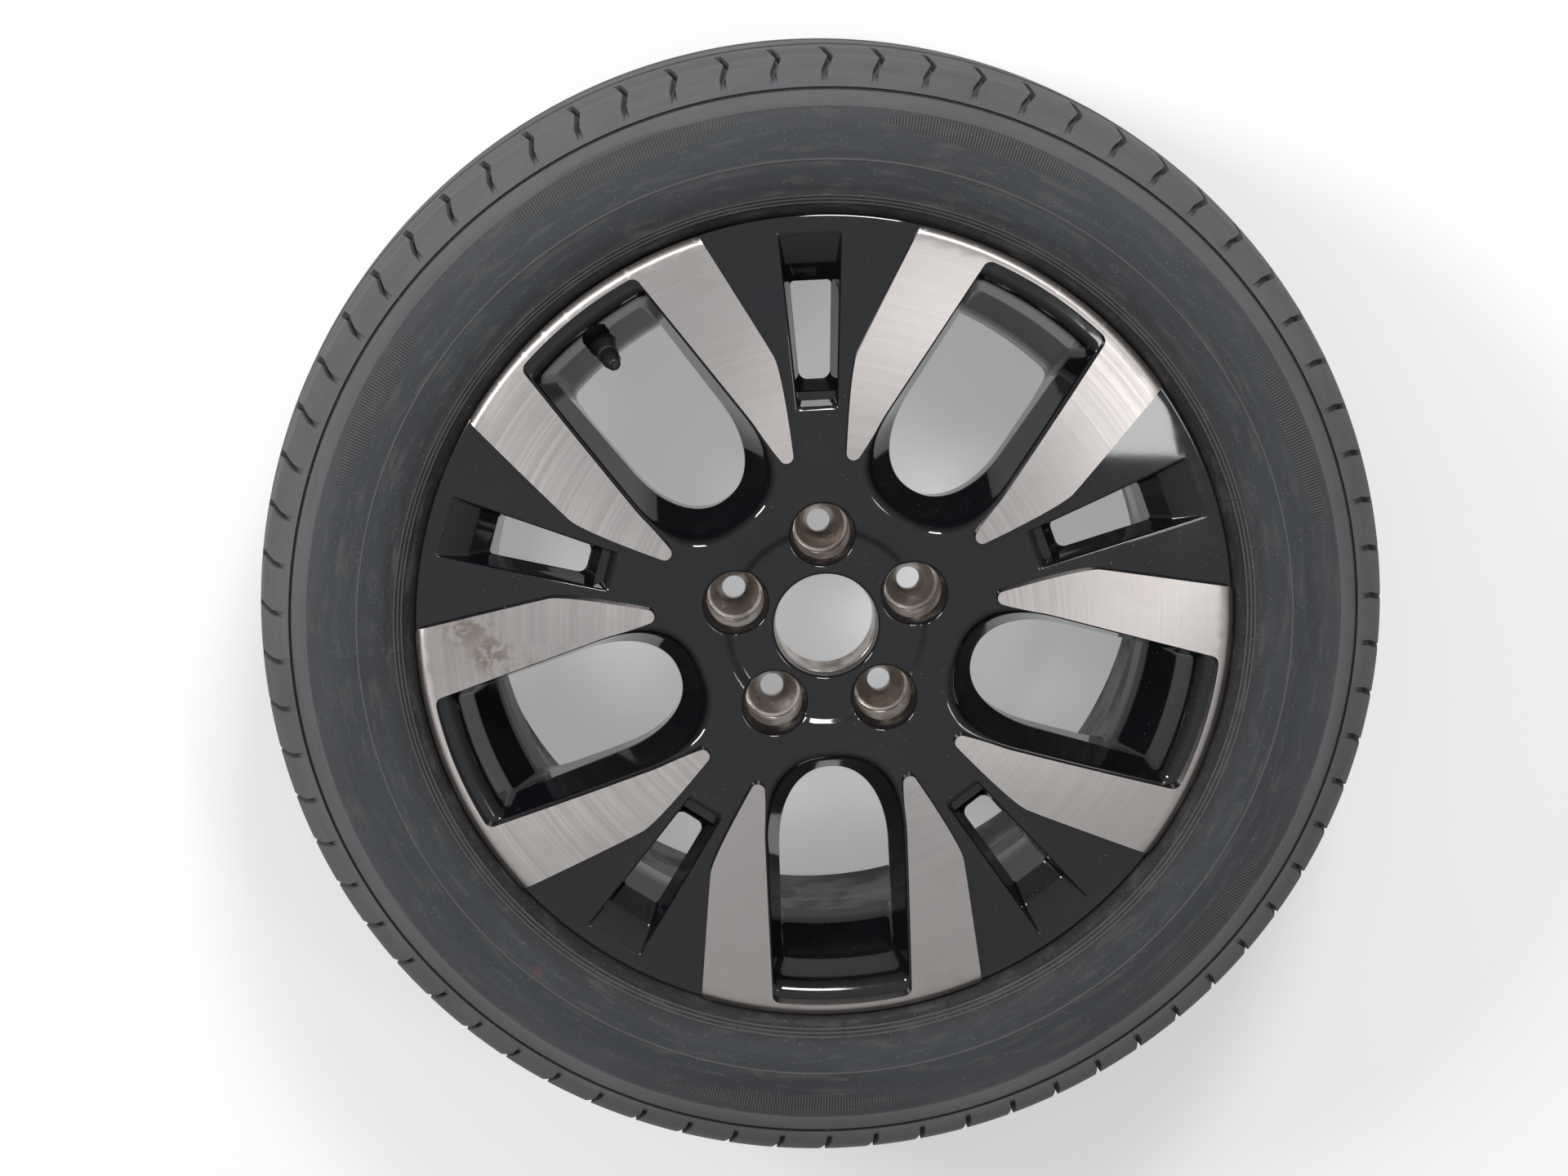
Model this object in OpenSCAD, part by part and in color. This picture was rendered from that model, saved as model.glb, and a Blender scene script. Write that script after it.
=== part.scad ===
/* [Rim] */
// Rim diameter at the bead seats, 17 inch code
rim_d = 436.6; // [432:0.1:442]
// Rim width between the two flanges, 6.5 inch
rim_w = 165.1; // [160:0.1:172]
// Height of the flanges above the bead seats
flange_h = 17.3; // [16.5:0.1:18]
// Distance of the hub face outboard of the middle of the rim
offset_et = 44; // [41:0.5:47]
// Depth of the drop centre under the bead seats
well_depth = 18.9; // [18:0.1:20]
// Wall of the barrel at the drop centre
barrel_t = 5; // [4.5:0.1:6]

/* [Hub] */
// Diameter of the bolt circle
pcd = 108; // [104:0.5:112]
// Number of bolt holes, spokes and windows
n_bolts = 5; // [5:1:5]
// Diameter of the bolt holes
bolt_hole_d = 13.5; // [12.5:0.1:15.5]
// Diameter of the spigot bore in the hub face
hub_bore_d = 65.1; // [63:0.1:67]
// Depth of the spigot bore
hub_bore_depth = 14; // [11:0.5:16]
// Diameter of the front opening for the centre cap
cap_bore_d = 60; // [56:0.5:61]
// Diameter of the flat hub face that lies on the car
hub_face_d = 148; // [144:1:152]
// Diameter of the machined bolt pockets
pocket_d = 33; // [31:0.5:34]

/* [Face] */
// Height of the crown of the face over the rim's edge
crown_h = 9.7; // [8.5:0.1:11]
// Height of the machined faces above the painted ones
step_h = 4.7; // [4:0.1:5.5]
// Half width of a window at its front edge
window_hw = 41.3; // [40:0.1:42]
// Height of the waist of a window under the flange's front
waist_drop = 15; // [13:0.5:17]
// Width of the slope around each window, front edge to waist
window_draft = 9; // [8:0.5:10]
// Half width of a slot pocket next to the rim
slot_hw = 17.6; // [16.5:0.1:18.5]

/* [Tyre] */
// Outer diameter of the tyre
tyre_d = 661; // [656:1:665]
// Width of the tyre over its sidewalls
tyre_w = 214; // [210:1:218]
// Width of the tread, edge to edge
tread_w = 176; // [172:1:180]
// Depth of the tread grooves
groove_depth = 6.5; // [5:0.5:7]
// Number of cross grooves in each shoulder
shoulder_grooves = 70; // [60:2:76]

/* [Valve] */
// Radius at which the valve leaves the rim
valve_r = 204.5; // [203.5:0.1:205.5]
// Lean of the valve towards the axle
valve_tilt = 28; // [26:0.5:30]
// Diameter of the valve hole
valve_hole_d = 11.3; // [11:0.1:11.6]
// Length of the rubber stem in front of the rim
stem_len = 13.5; // [12.5:0.5:15]
// Length of the valve cap
cap_len = 11.5; // [11:0.5:13]

/* [Hidden] */
$fn = 120;

paint = "#22252a";
rubber = "#35373a";
brass = "#b59a52";

pitch = 360 / n_bolts;
window_ang = 54;
slot_ang = window_ang + pitch / 2;

// Rim section: radii, and heights of the inner faces of the flanges over the hub face
seat_r = rim_d / 2;
flange_r = seat_r + flange_h;
flange_curl = 9.5;
front_z = rim_w / 2 - offset_et;
rear_z = -rim_w / 2 - offset_et;
well_r = seat_r - well_depth;
bore_r = well_r - barrel_t;
seat_taper = tan(5);

// Levels of the face, counted from the front flange
edge_z = front_z + 10.2;
waist_z = front_z - waist_drop;
hub_z = front_z + 8.5;
crown_r = 75;
window_r = flange_r - 6.2;
crown_k = (crown_h - 3.2) / pow(window_r - crown_r, 2);

// Machined face: a shallow crown that rolls down into the rim's edge
function face_z(r) = r > window_r
    ? edge_z + 3.2 * (1 - pow((r - window_r) / (flange_r - window_r), 2))
    : edge_z + crown_h - crown_k * pow(max(r - crown_r, 0), 2);

// Painted face, one step lower, which falls to the hub through a fillet
dish_r = 53;
dish_w = 7;
function paint_z(r) = r > 96 ? face_z(min(r, window_r)) - step_h
    : lerp(hub_z + 3.2, face_z(96) - step_h, (r - dish_r - dish_w) / (96 - dish_r - dish_w));
function lerp(a, b, t) = a + (b - a) * t;
function steps(a, b, n) = [for (i = [0:n]) lerp(a, b, i / n)];
function mirror_x(pts) = [for (i = [len(pts) - 1:-1:0]) [-pts[i][0], pts[i][1]]];
function arc(c, r, a0, a1, n) = [for (a = steps(a0, a1, n)) c + r * [cos(a), sin(a)]];
function bezier(a, b, c, n) =
    [for (t = steps(0, 1, n)) (1 - t) * (1 - t) * a + 2 * t * (1 - t) * b + t * t * c];

// Closed solid through rings that hold the same number of points, counted anticlockwise
module loft(rings) {
    n = len(rings[0]);
    m = len(rings);
    pts = [for (ring = rings) each ring];
    bottom = [for (i = [1:n - 2]) [0, i, i + 1]];
    top = [for (i = [1:n - 2]) [0, i + 1, i] + [1, 1, 1] * (m - 1) * n];
    sides = [for (k = [0:m - 2], i = [0:n - 1]) each
        let (a = k * n + i, b = k * n + (i + 1) % n)
        [[a, a + n, b + n], [a, b + n, b]]];
    polyhedron(points = pts, faces = concat(bottom, sides, top), convexity = 6);
}

// Strip solid between two polylines, each with its own top and bottom
module ribbon(out_top, out_low, in_top, in_low) {
    n = len(out_top);
    pts = concat(out_top, out_low, in_top, in_low);
    cells = [for (i = [0:n - 2]) each
        let (ot = i, ol = n + i, it = 2 * n + i, il = 3 * n + i)
        [[ot, it + 1, ot + 1], [ot, it, it + 1], [ol, ol + 1, il + 1], [ol, il + 1, il],
         [ot, ot + 1, ol + 1], [ot, ol + 1, ol], [it, il + 1, it + 1], [it, il, il + 1]]];
    last = n - 1;
    ends = [[0, 3 * n, 2 * n], [0, n, 3 * n],
            [last, 2 * n + last, 3 * n + last], [last, 3 * n + last, n + last]];
    polyhedron(points = pts, faces = concat(cells, ends), convexity = 8);
}

// One half of the rim section's tyre side, from the middle of a bead seat to the flange's top
function bead_side() = [
    [seat_r - 22.5 * seat_taper - 0.6, -27],
    [seat_r - 22.5 * seat_taper + 0.9, -23.5],
    [seat_r - 22.5 * seat_taper + 0.9, -21.5],
    [seat_r - 19.8 * seat_taper, -19],
    [seat_r - 5 * seat_taper, -5],
    [seat_r + 1.6, -1.6],
    [seat_r + 5, 0],
    [flange_r - flange_curl, 0],
    [flange_r - flange_curl / 2, flange_curl * (1 - cos(30))],
    [flange_r - flange_curl * (1 - cos(30)), flange_curl / 2],
    [flange_r, flange_curl - 2.7],
    [flange_r, flange_curl - 1.6]
];

// Section of the barrel and the spoke disc together, as radius and height
module wheel_section() {
    front = [for (p = bead_side()) [p[0], front_z + p[1]]];
    rear = [for (i = [len(bead_side()) - 1:-1:0]) [bead_side()[i][0], rear_z - bead_side()[i][1]]];
    painted = [for (r = [flange_r - 1, window_r, 215, 195, 175, 155, 135, 115, 96]) [r, paint_z(r)]];
    dish = [for (t = [1, 0.75, 0.5, 0.25, 0])
        [dish_r + dish_w * t, hub_z + 3.2 * (1 - cos(180 * t)) / 2]];
    disc_back = [
        [cap_bore_d / 2 - 6, 0], [hub_face_d / 2 - 1, 0], [hub_face_d / 2, 1],
        [hub_face_d / 2 + 6, 5.5], [100, 8], [125, 8], [150, 6], [172, 1.5], [185, -5],
        [bore_r - 3, -13], [bore_r, -20]
    ];
    barrel_in = [
        [bore_r, -42], [seat_r - 19.5, -52], [seat_r - 14.3, -66], [seat_r - 10.6, -90],
        [seat_r - 9.8, rear_z - 2], [seat_r - 9.6, rear_z - 8.2], [seat_r - 6, rear_z - 10.6],
        [flange_r - 5, rear_z - 11.6], [flange_r - 2, rear_z - 11.2]
    ];
    well = [
        [well_r + 14, -91], [well_r + 9.6, -67], [well_r + 4.2, -56], [well_r, -45],
        [well_r, -8.5]
    ];
    polygon(concat(front, painted, dish, [[cap_bore_d / 2 - 6, hub_z]], disc_back, barrel_in,
                   rear, well));
}

// Machined faces as a body of revolution, cut to shape by the blades
module machined_section() {
    crown = steps(84, 222, 9);
    under = step_h + 2.5;
    lip = flange_r - 0.2;
    top = [for (r = concat(crown, steps(window_r, lip, 3))) [r, face_z(r)]];
    low = [for (i = [len(crown) - 1:-3:0]) [crown[i], face_z(crown[i]) - under]];
    polygon(concat(top, [[lip, edge_z - 2.6], [lip - 3, edge_z - 5]], low));
}

// A window's outline: hub end on a superellipse, straight sides, outer end on the rim's arc
function window_ring(z, r_out, hw_out, hw_in, mid_y, end_y, n, corner) =
    let (e = 2 / n, q = 9,
         hub_end = [for (a = steps(0, 90, q)) [hw_in * pow(sin(a), e),
                                              mid_y - (mid_y - end_y) * pow(cos(a), e)]],
         turn = asin((hw_out - corner) / (r_out - corner)),
         c = (r_out - corner) * [sin(turn), cos(turn)],
         rim_corner = arc(c, corner, 0, 90 - turn, 3),
         rim_arc = arc([0, 0], r_out, 90 - turn * 0.66, 90, 2),
         right = concat(hub_end, rim_corner, rim_arc),
         left = mirror_x(right))
    [for (p = concat(right, [for (i = [1:len(left) - 2]) left[i]])) [p[0], p[1], z]];

// Window cutter: front slope down to the waist, then a back draft to behind the spokes
module window_cutter() {
    hw = window_hw;
    d = window_draft;
    top_z = face_z(130) + 8;
    top = (top_z - waist_z) / (face_z(130) - waist_z);
    waist = [seat_r - 8.3, hw - d + 1.4, hw - d, 140, 90.5, 2.2, 5];
    edge = [window_r, hw + 1, hw, 130, 74.5, 2.65, 5];
    rim_edge_z = face_z(window_r);
    bend = 0.7;
    bend_r = seat_r - 1.5;
    bend_z = lerp(waist_z, rim_edge_z, bend);
    top_r = lerp(bend_r, window_r, (top_z - bend_z) / (rim_edge_z - bend_z));
    over = [for (i = [0:6]) i == 0 ? top_r : lerp(waist[i], edge[i], top)];
    mid = [for (i = [0:6]) i == 0 ? bend_r : lerp(waist[i], edge[i], bend)];
    deep = [bore_r, hw - d + 2.4, hw - d + 1, 140, 88, 2.2, 5];
    out = [bore_r - 6, hw - d + 2.4, hw - d + 2, 140, 84, 2.2, 5];
    function ring(z, p) = window_ring(z, p[0], p[1], p[2], p[3], p[4], p[5], p[6]);
    loft([ring(-26, out), ring(-1.5, deep), ring(waist_z, waist),
          ring(bend_z, mid),
          ring(top_z, over)]);
}

// Blade outline on the slot's side, from the tip by the hub to the corner at the rim
tip = [44.2, 93.3];
tip_r = 4;
knee = [72.6, 134.4];
rim_corner_ang = 20.75;
function blade_out() = concat(
    arc(tip, tip_r, -90, -29, 3),
    bezier([50.6, 96.5], [70.6, 130], [73.9, 141], 5),
    bezier([74.9, 150], [78.6, 184], (flange_r + 4) * [sin(rim_corner_ang), cos(rim_corner_ang)], 4));
function blade_in() = concat(
    arc(tip, tip_r, -100, -161, 3),
    bezier([40.1, 96.5], [41.4, 118], [34, 132], 5),
    bezier([34, 150], [34, 184], [34, 214], 4));

// Moves the points of an open line sideways, outwards on its right hand
function shifted(pts, d) = [for (i = [0:len(pts) - 1])
    let (a = pts[max(i - 1, 0)], b = pts[min(i + 1, len(pts) - 1)], u = (b - a) / norm(b - a))
    pts[i] + d * [u[1], -u[0]]];
function on_face(pts, dz) = [for (p = pts) [p[0], p[1], face_z(min(norm(p), flange_r)) + dz]];

// Machined pair of blades with the arc that joins them outside the window
module blade_pair() {
    flare = 0.28;
    up = 3;
    down = step_h + 1.8;
    span = 6;
    right = blade_out();
    right_in = blade_in();
    arc_out = arc([0, 0], flange_r + 4, 90 - rim_corner_ang, 90, span);
    arc_in = arc([0, 0], window_r - 8, 90 - 9, 90, span);
    inner = [for (i = [1:span]) arc_in[i]];
    outer = [for (i = [1:span]) arc_out[i]];
    function full(side, bow) = let (h = concat(side, bow))
        concat(h, mirror_x([for (i = [0:len(h) - 2]) h[i]]));
    function wide(d) = full(shifted(right, d), outer);
    function narrow(d) = full(shifted(right_in, -d), inner);
    ribbon(on_face(wide(-up * flare), up), on_face(wide(down * flare), -down),
           on_face(narrow(-up * flare), up), on_face(narrow(down * flare), -down));
}

// Outline of a slot pocket: a trapezium with rounded corners
function slot_ring(z, y_in, hw_in, y_out, hw_out, r_in, r_out) =
    let (right = concat(arc([hw_in - r_in, y_in + r_in], r_in, -90, 0, 4),
                        arc([hw_out - r_out, y_out - r_out], r_out, 0, 90, 3)),
         left = mirror_x(right))
    [for (p = concat(right, left)) [p[0], p[1], z]];
slot_in_y = 126;
slot_out_y = flange_r - 9.2;
slot_waist_z = front_z - 8;
module slot_cutter() {
    hw = slot_hw;
    face = paint_z(180);
    loft([slot_ring(waist_z - 12, 141, hw - 8, seat_r - 20, hw - 5.5, 5, 2),
          slot_ring(slot_waist_z, 141.5, hw - 8.6, seat_r - 20.8, hw - 6, 5, 2),
          slot_ring(front_z + 2, 133, hw - 7.4, seat_r - 9.3, hw - 3.4, 3, 2),
          slot_ring(face - 2, 126.5, hw - 6.3, slot_out_y, hw, 1.2, 1.2),
          slot_ring(face + 12, 121, hw - 5, slot_out_y + 20, hw + 3, 1.2, 1.2)]);
}

// Core pocket behind each spoke, with the collar of the slot left standing in it
function core_ring(z, y_in, hw_in, mid, r_out, hw_out) =
    let (right = concat(arc([hw_in - 8, y_in + 8], 8, -90, -20, 3), [mid],
                        arc([hw_out - 9, sqrt(pow(r_out - 9, 2) - pow(hw_out - 9, 2))], 9, -20,
                            90 - asin((hw_out - 9) / (r_out - 9)), 4),
                        arc([0, 0], r_out, 78, 90, 2)),
         left = mirror_x(right))
    [for (p = concat(right, [for (i = [1:len(left) - 2]) left[i]])) [p[0], p[1], z]];
module spoke_core() {
    difference() {
        loft([core_ring(-30, 84, 27, [47, 134], bore_r - 2, 81),
              core_ring(front_z - 8, 87, 23, [42, 134], seat_r - 17, 76),
              core_ring(front_z + 4.5, 90, 20, [39, 134], seat_r - 20, 71)]);
        translate([0, 0, slot_waist_z]) linear_extrude(height = 40)
            polygon([for (p = slot_ring(0, 135.5, slot_hw - 2.2, seat_r - 8, slot_hw + 1, 6, 2))
                [p[0], p[1]]]);
    }
}

// Bolt hole with its cone seat, machined pocket and painted mouth
cone_top_r = 14.2;
cone_z = 4.6;
pocket_z = 17;
module bolt_cutter() {
    hole_r = bolt_hole_d / 2;
    translate([0, 0, -5]) cylinder(r = hole_r, h = cone_z + 6);
    translate([0, 0, cone_z]) cylinder(r1 = hole_r, r2 = cone_top_r, h = (cone_top_r - hole_r) / tan(30));
    translate([0, 0, pocket_z]) cylinder(d = pocket_d, h = 60);
    translate([0, 0, hub_z - 9]) cylinder(r1 = pocket_d / 2, r2 = pocket_d / 2 + 3, h = 15);
}

// Spigot bore behind, cap bore in front, and the land between them with its index notch
module hub_cutter() {
    land_r = cap_bore_d / 2 - 1.2;
    translate([0, 0, -5]) cylinder(r = hub_bore_d / 2, h = hub_bore_depth + 5);
    translate([0, 0, -1]) cylinder(r1 = hub_bore_d / 2 + 3, r2 = hub_bore_d / 2, h = 3);
    translate([0, 0, -5]) cylinder(r = land_r, h = 80);
    translate([0, 0, hub_z - 12]) cylinder(r = cap_bore_d / 2, h = 30);
    translate([0, 0, hub_z - 1]) cylinder(r1 = cap_bore_d / 2, r2 = cap_bore_d / 2 + 2, h = 2);
    rotate([0, 0, -93]) translate([land_r - 2, -1.6, hub_bore_depth - 1]) cube([3.8, 3.2, 5]);
}

// Weight-saving pockets in the hub face, between the bolt bosses
module hub_pocket() {
    translate([0, 0, -5]) linear_extrude(height = 19) polygon(concat(
        arc([0, 0], hub_face_d / 2 - 5.5, 90 - 14, 90 + 14, 6), arc([0, 0], 43, 90 + 9, 90 - 9, 4)));
}

// Frame of the valve: z runs out of the rim along the valve, from the spot face
valve_z = front_z - 21;
plate_t = 4;
module at_valve() {
    rotate([0, 0, window_ang + pitch]) translate([valve_r, 0, valve_z]) rotate([0, -valve_tilt, 0])
        children();
}
module valve_cutter() {
    at_valve() {
        translate([0, 0, -20]) cylinder(d = valve_hole_d, h = 30);
        cylinder(r = 10.5, h = 24);
        translate([0, 0, -plate_t - 26]) cylinder(r = 12, h = 26);
    }
}

module each_pitch(a) {
    for (i = [0:n_bolts - 1]) rotate([0, 0, a - 90 + i * pitch]) children();
}

// The casting in the order of its making: blank, windows, slots, cores, and the machined holes
module blank() {
    rotate_extrude() wheel_section();
    intersection() {
        rotate_extrude() machined_section();
        each_pitch(window_ang) blade_pair();
    }
}
module windowed() {
    difference() {
        blank();
        each_pitch(window_ang) window_cutter();
    }
}
module slotted() {
    difference() {
        windowed();
        each_pitch(slot_ang) slot_cutter();
    }
}
module cored() {
    difference() {
        slotted();
        each_pitch(slot_ang) spoke_core();
    }
}
module drilled() {
    difference() {
        cored();
        each_pitch(slot_ang) translate([0, pcd / 2, 0]) bolt_cutter();
    }
}
module bored() {
    difference() {
        drilled();
        hub_cutter();
    }
}
module alloy_wheel() {
    color(paint) difference() {
        bored();
        each_pitch(window_ang) hub_pocket();
        valve_cutter();
    }
}

// Tyre section: half of it, from the bead's toe over the sidewall to the middle of the tread
tyre_r = tyre_d / 2;
side_z = tyre_w / 2;
tread_z = tread_w / 2;
bead_gap = 0.3;
bead_z = rim_w / 2 - 0.4;
shoulder_drop = 8;
line_r = tyre_r - 25;
line_z = side_z - 6;
function crown_drop(z) = shoulder_drop * pow(abs(z) / tread_z, 2.4);
function tyre_outer() = concat(
    [[seat_r - seat_taper * 18 + bead_gap, bead_z - 18], [seat_r - seat_taper * 6 + bead_gap, bead_z - 6],
     [seat_r + 2.2, bead_z - 1.8], [seat_r + 5.4, bead_z]],
    bezier([flange_r - flange_curl + 0.3, bead_z], [flange_r - 0.6, bead_z + 1.35],
           [flange_r + 2.8, bead_z + 11], 4),
    bezier([flange_r + 6, bead_z + 14.5], [flange_r + 24, side_z + 4.5], [flange_r + 44, side_z], 6),
    bezier([flange_r + 52, side_z - 2], [line_r - 8, side_z - 4], [line_r - 0.9, line_z + 0.4], 2),
    [[line_r - 0.5, line_z - 1], [line_r + 0.5, line_z - 1.2]],
    bezier([line_r + 0.9, line_z], [tyre_r - 14, tread_z + 11], [tyre_r - shoulder_drop, tread_z], 4),
    [for (z = steps(tread_z - 9, 0, 7)) [tyre_r - crown_drop(z), z]]);
function tyre_inner() = concat(
    [for (z = steps(0, tread_z - 8, 5)) [tyre_r - 16 - crown_drop(z) * 1.1, z]],
    bezier([tyre_r - 27, tread_z + 2], [tyre_r - 34, side_z - 8], [flange_r + 44, side_z - 7.5], 5),
    bezier([flange_r + 30, side_z - 7.5], [flange_r + 6, side_z - 9], [flange_r + 2, bead_z - 3], 5),
    [[seat_r + 9, bead_z - 14], [seat_r + 3, bead_z - 18.5]]);
module tyre_section() {
    outer = tyre_outer();
    inner = tyre_inner();
    n = len(outer) - 1;
    other_outer = [for (i = [n - 1:-1:0]) [outer[i][0], -outer[i][1]]];
    other_inner = [for (i = [len(inner) - 1:-1:1]) [inner[i][0], -inner[i][1]]];
    difference() {
        polygon(concat(outer, other_outer, other_inner, inner));
        for (z = [-50, -17, 17, 50])
            translate([tyre_r - crown_drop(z) - groove_depth, z - groove_w(z) / 2])
                square([groove_depth + 10, groove_w(z)]);
    }
}
function groove_w(z) = abs(z) > 30 ? 8 : 9.5;

// Cross groove of a shoulder: it crosses the tread's edge, bends and runs down to the thin line
module shoulder_groove() {
    width = 3.2;
    bottom = tyre_r - shoulder_drop - groove_depth + 1;
    bend = tyre_r - 10;
    translate([bottom + 1.5, 0, tread_z - 9]) rotate([8, 0, 0])
        translate([0, -width / 2, -17]) cube([groove_depth + 12, width, 22]);
    translate([bend, 0, 0]) rotate([0, 0, -12]) translate([-bend, width / 2, 0]) rotate([90, 0, 0])
        linear_extrude(height = width) polygon([
            [bottom, tread_z - 7], [bottom - 3, tread_z + 4], [line_r + 2.4, line_z + 0.1],
            [line_r + 2.4, line_z + 12], [tyre_r + 6, line_z + 12], [tyre_r + 6, tread_z - 7]]);
}

module tyre() {
    color(rubber) translate([0, 0, -offset_et]) difference() {
        rotate_extrude() tyre_section();
        for (i = [0:shoulder_grooves - 1]) {
            rotate([0, 0, i * 360 / shoulder_grooves]) shoulder_groove();
            rotate([0, 0, (i + 0.5) * 360 / shoulder_grooves]) mirror([0, 0, 1]) shoulder_groove();
        }
    }
}

// Valve sizes along its own axis
stem_r = 3.85;
stem_top = stem_len + cap_len - 1.8;
stem_low = -plate_t - 9;
core_r = 2.6;
module valve_body() {
    color(rubber) at_valve() rotate_extrude() polygon([
        [stem_r, stem_low], [7.2, stem_low], [8.2, stem_low + 1.5], [9.5, -plate_t - 1.5], [9.3, -plate_t],
        [valve_hole_d / 2, -plate_t], [valve_hole_d / 2, 0], [7.8, 0], [8, 0.9], [7.4, 2.2],
        [6.3, stem_len * 0.55], [6, stem_len - 0.6], [5.4, stem_len], [stem_r, stem_len]]);
}
module valve_stem() {
    color(brass) at_valve() difference() {
        translate([0, 0, stem_low]) cylinder(r = stem_r, h = stem_top - stem_low - 0.8);
        translate([0, 0, stem_low - 1]) cylinder(r = 1.6, h = 60);
        translate([0, 0, stem_len - 8]) cylinder(r = core_r, h = 30);
        translate([0, 0, stem_top - 2.4]) cylinder(r1 = core_r, r2 = core_r + 0.5, h = 2);
    }
    color(brass) at_valve() difference() {
        translate([0, 0, stem_top - 0.8]) cylinder(r1 = stem_r, r2 = stem_r - 0.6, h = 0.8);
        translate([0, 0, stem_top - 2]) cylinder(r = core_r + 0.5, h = 4);
    }
}
core_top = stem_top - 0.6;
core_low = stem_len - 8;
module core_body() {
    color(brass) at_valve() difference() {
        union() {
            translate([0, 0, core_low]) cylinder(r = 1.5, h = core_top - core_low - 4);
            translate([0, 0, core_top - 5]) cylinder(r = core_r, h = 4);
            translate([-0.9, -2.2, core_top - 1.2]) cube([1.8, 4.4, 1.2]);
        }
        translate([0, 0, core_low - 1]) cylinder(r = 0.75, h = 40);
    }
}
module core_seal() {
    color("#7a2b22") at_valve() translate([0, 0, core_low + 2]) difference() {
        cylinder(r1 = 2.3, r2 = core_r, h = 2.4);
        translate([0, 0, -1]) cylinder(r = 1.5, h = 6);
    }
}
pin_gap = 0.05;
module core_pin() {
    color(brass) at_valve() {
        translate([0, 0, core_low - 2.6]) cylinder(r = 0.7, h = core_top - core_low + 2.9);
        translate([0, 0, core_low - 3.6]) cylinder(r = 1.35, h = 3.6 - pin_gap);
    }
}
cap_low = stem_len + 0.3;
cap_top = stem_len + cap_len + 0.8;
cap_r = 5.35;
module valve_cap() {
    ribs = 24;
    color("#1b1c1e") at_valve() difference() {
        union() {
            translate([0, 0, cap_low]) rotate_extrude() polygon([
                [0, 0], [cap_r - 0.5, 0], [cap_r - 0.3, 0.3], [cap_r - 0.45, 6.6], [cap_r - 1, 9],
                [cap_r - 1.7, cap_top - cap_low - 0.5], [cap_r - 2.2, cap_top - cap_low],
                [0, cap_top - cap_low]]);
            for (i = [0:ribs - 1]) rotate([0, 0, i * 360 / ribs])
                translate([cap_r - 1, -0.3, cap_low + 0.6]) cube([1, 0.6, 5.8]);
        }
        translate([0, 0, cap_low - 1]) cylinder(r = stem_r + 0.12, h = stem_top - cap_low + 1.9);
        translate([0, 0, cap_top - 0.5]) difference() {
            cylinder(r = 2.7, h = 2);
            translate([0, 0, -1]) cylinder(r = 1.9, h = 4);
        }
    }
}
module cap_seal() {
    color("#2a2a2a") at_valve() translate([0, 0, stem_top + 0.1]) difference() {
        cylinder(r = stem_r - 0.1, h = 0.8);
        translate([0, 0, -1]) cylinder(r = 1.8, h = 3);
    }
}

alloy_wheel();
tyre();
valve_body();
valve_stem();
core_body();
core_seal();
core_pin();
valve_cap();
cap_seal();
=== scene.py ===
"""Alloy wheel with its tyre, dressed for a studio picture.

All lengths in the shape functions are millimetres in the wheel's own frame: the axle is Z, the
hub's mounting face is Z = 0, and spoke pitches repeat every 72 degrees. Meshes are scaled to metres
when they are made.
"""

import math

import bmesh
import bpy
import numpy as np
from mathutils import Matrix, Vector, geometry


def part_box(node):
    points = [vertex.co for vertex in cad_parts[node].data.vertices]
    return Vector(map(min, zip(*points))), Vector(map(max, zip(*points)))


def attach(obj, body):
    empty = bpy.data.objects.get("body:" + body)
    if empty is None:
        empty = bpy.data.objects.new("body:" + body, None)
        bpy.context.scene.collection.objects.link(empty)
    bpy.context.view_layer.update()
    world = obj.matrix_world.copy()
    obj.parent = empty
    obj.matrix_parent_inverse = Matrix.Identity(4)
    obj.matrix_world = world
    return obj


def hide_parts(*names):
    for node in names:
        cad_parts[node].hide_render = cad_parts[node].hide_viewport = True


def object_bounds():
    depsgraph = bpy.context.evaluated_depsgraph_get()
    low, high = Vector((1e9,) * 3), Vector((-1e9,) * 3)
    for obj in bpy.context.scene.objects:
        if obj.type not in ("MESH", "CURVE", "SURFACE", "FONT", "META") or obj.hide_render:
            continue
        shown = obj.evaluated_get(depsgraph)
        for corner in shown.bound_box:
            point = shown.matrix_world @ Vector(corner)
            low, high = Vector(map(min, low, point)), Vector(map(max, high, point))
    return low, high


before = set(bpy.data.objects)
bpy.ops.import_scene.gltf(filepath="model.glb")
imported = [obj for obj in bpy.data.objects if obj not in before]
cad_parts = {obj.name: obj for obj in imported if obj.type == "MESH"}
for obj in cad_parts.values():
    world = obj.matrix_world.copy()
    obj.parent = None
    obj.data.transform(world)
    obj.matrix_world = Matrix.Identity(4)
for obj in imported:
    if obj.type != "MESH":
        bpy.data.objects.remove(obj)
CAD_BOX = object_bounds()

bl_info = {
    "name": "Alloy wheel",
    "version": (1, 0, 0),
    "blender": (4, 5, 0),
    "location": "View3D > Sidebar > Wheel",
    "description": "Builds a cast wheel with machined spoke faces, its tyre and a studio",
    "category": "Add Mesh",
}

MM = 0.001
PITCHES = 5
PITCH = 2 * math.pi / PITCHES
WINDOW_ANGLE = math.radians(54)
SLOT_ANGLE = WINDOW_ANGLE + PITCH / 2
PAINTED, BARE, BARREL = 0, 1, 2

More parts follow.
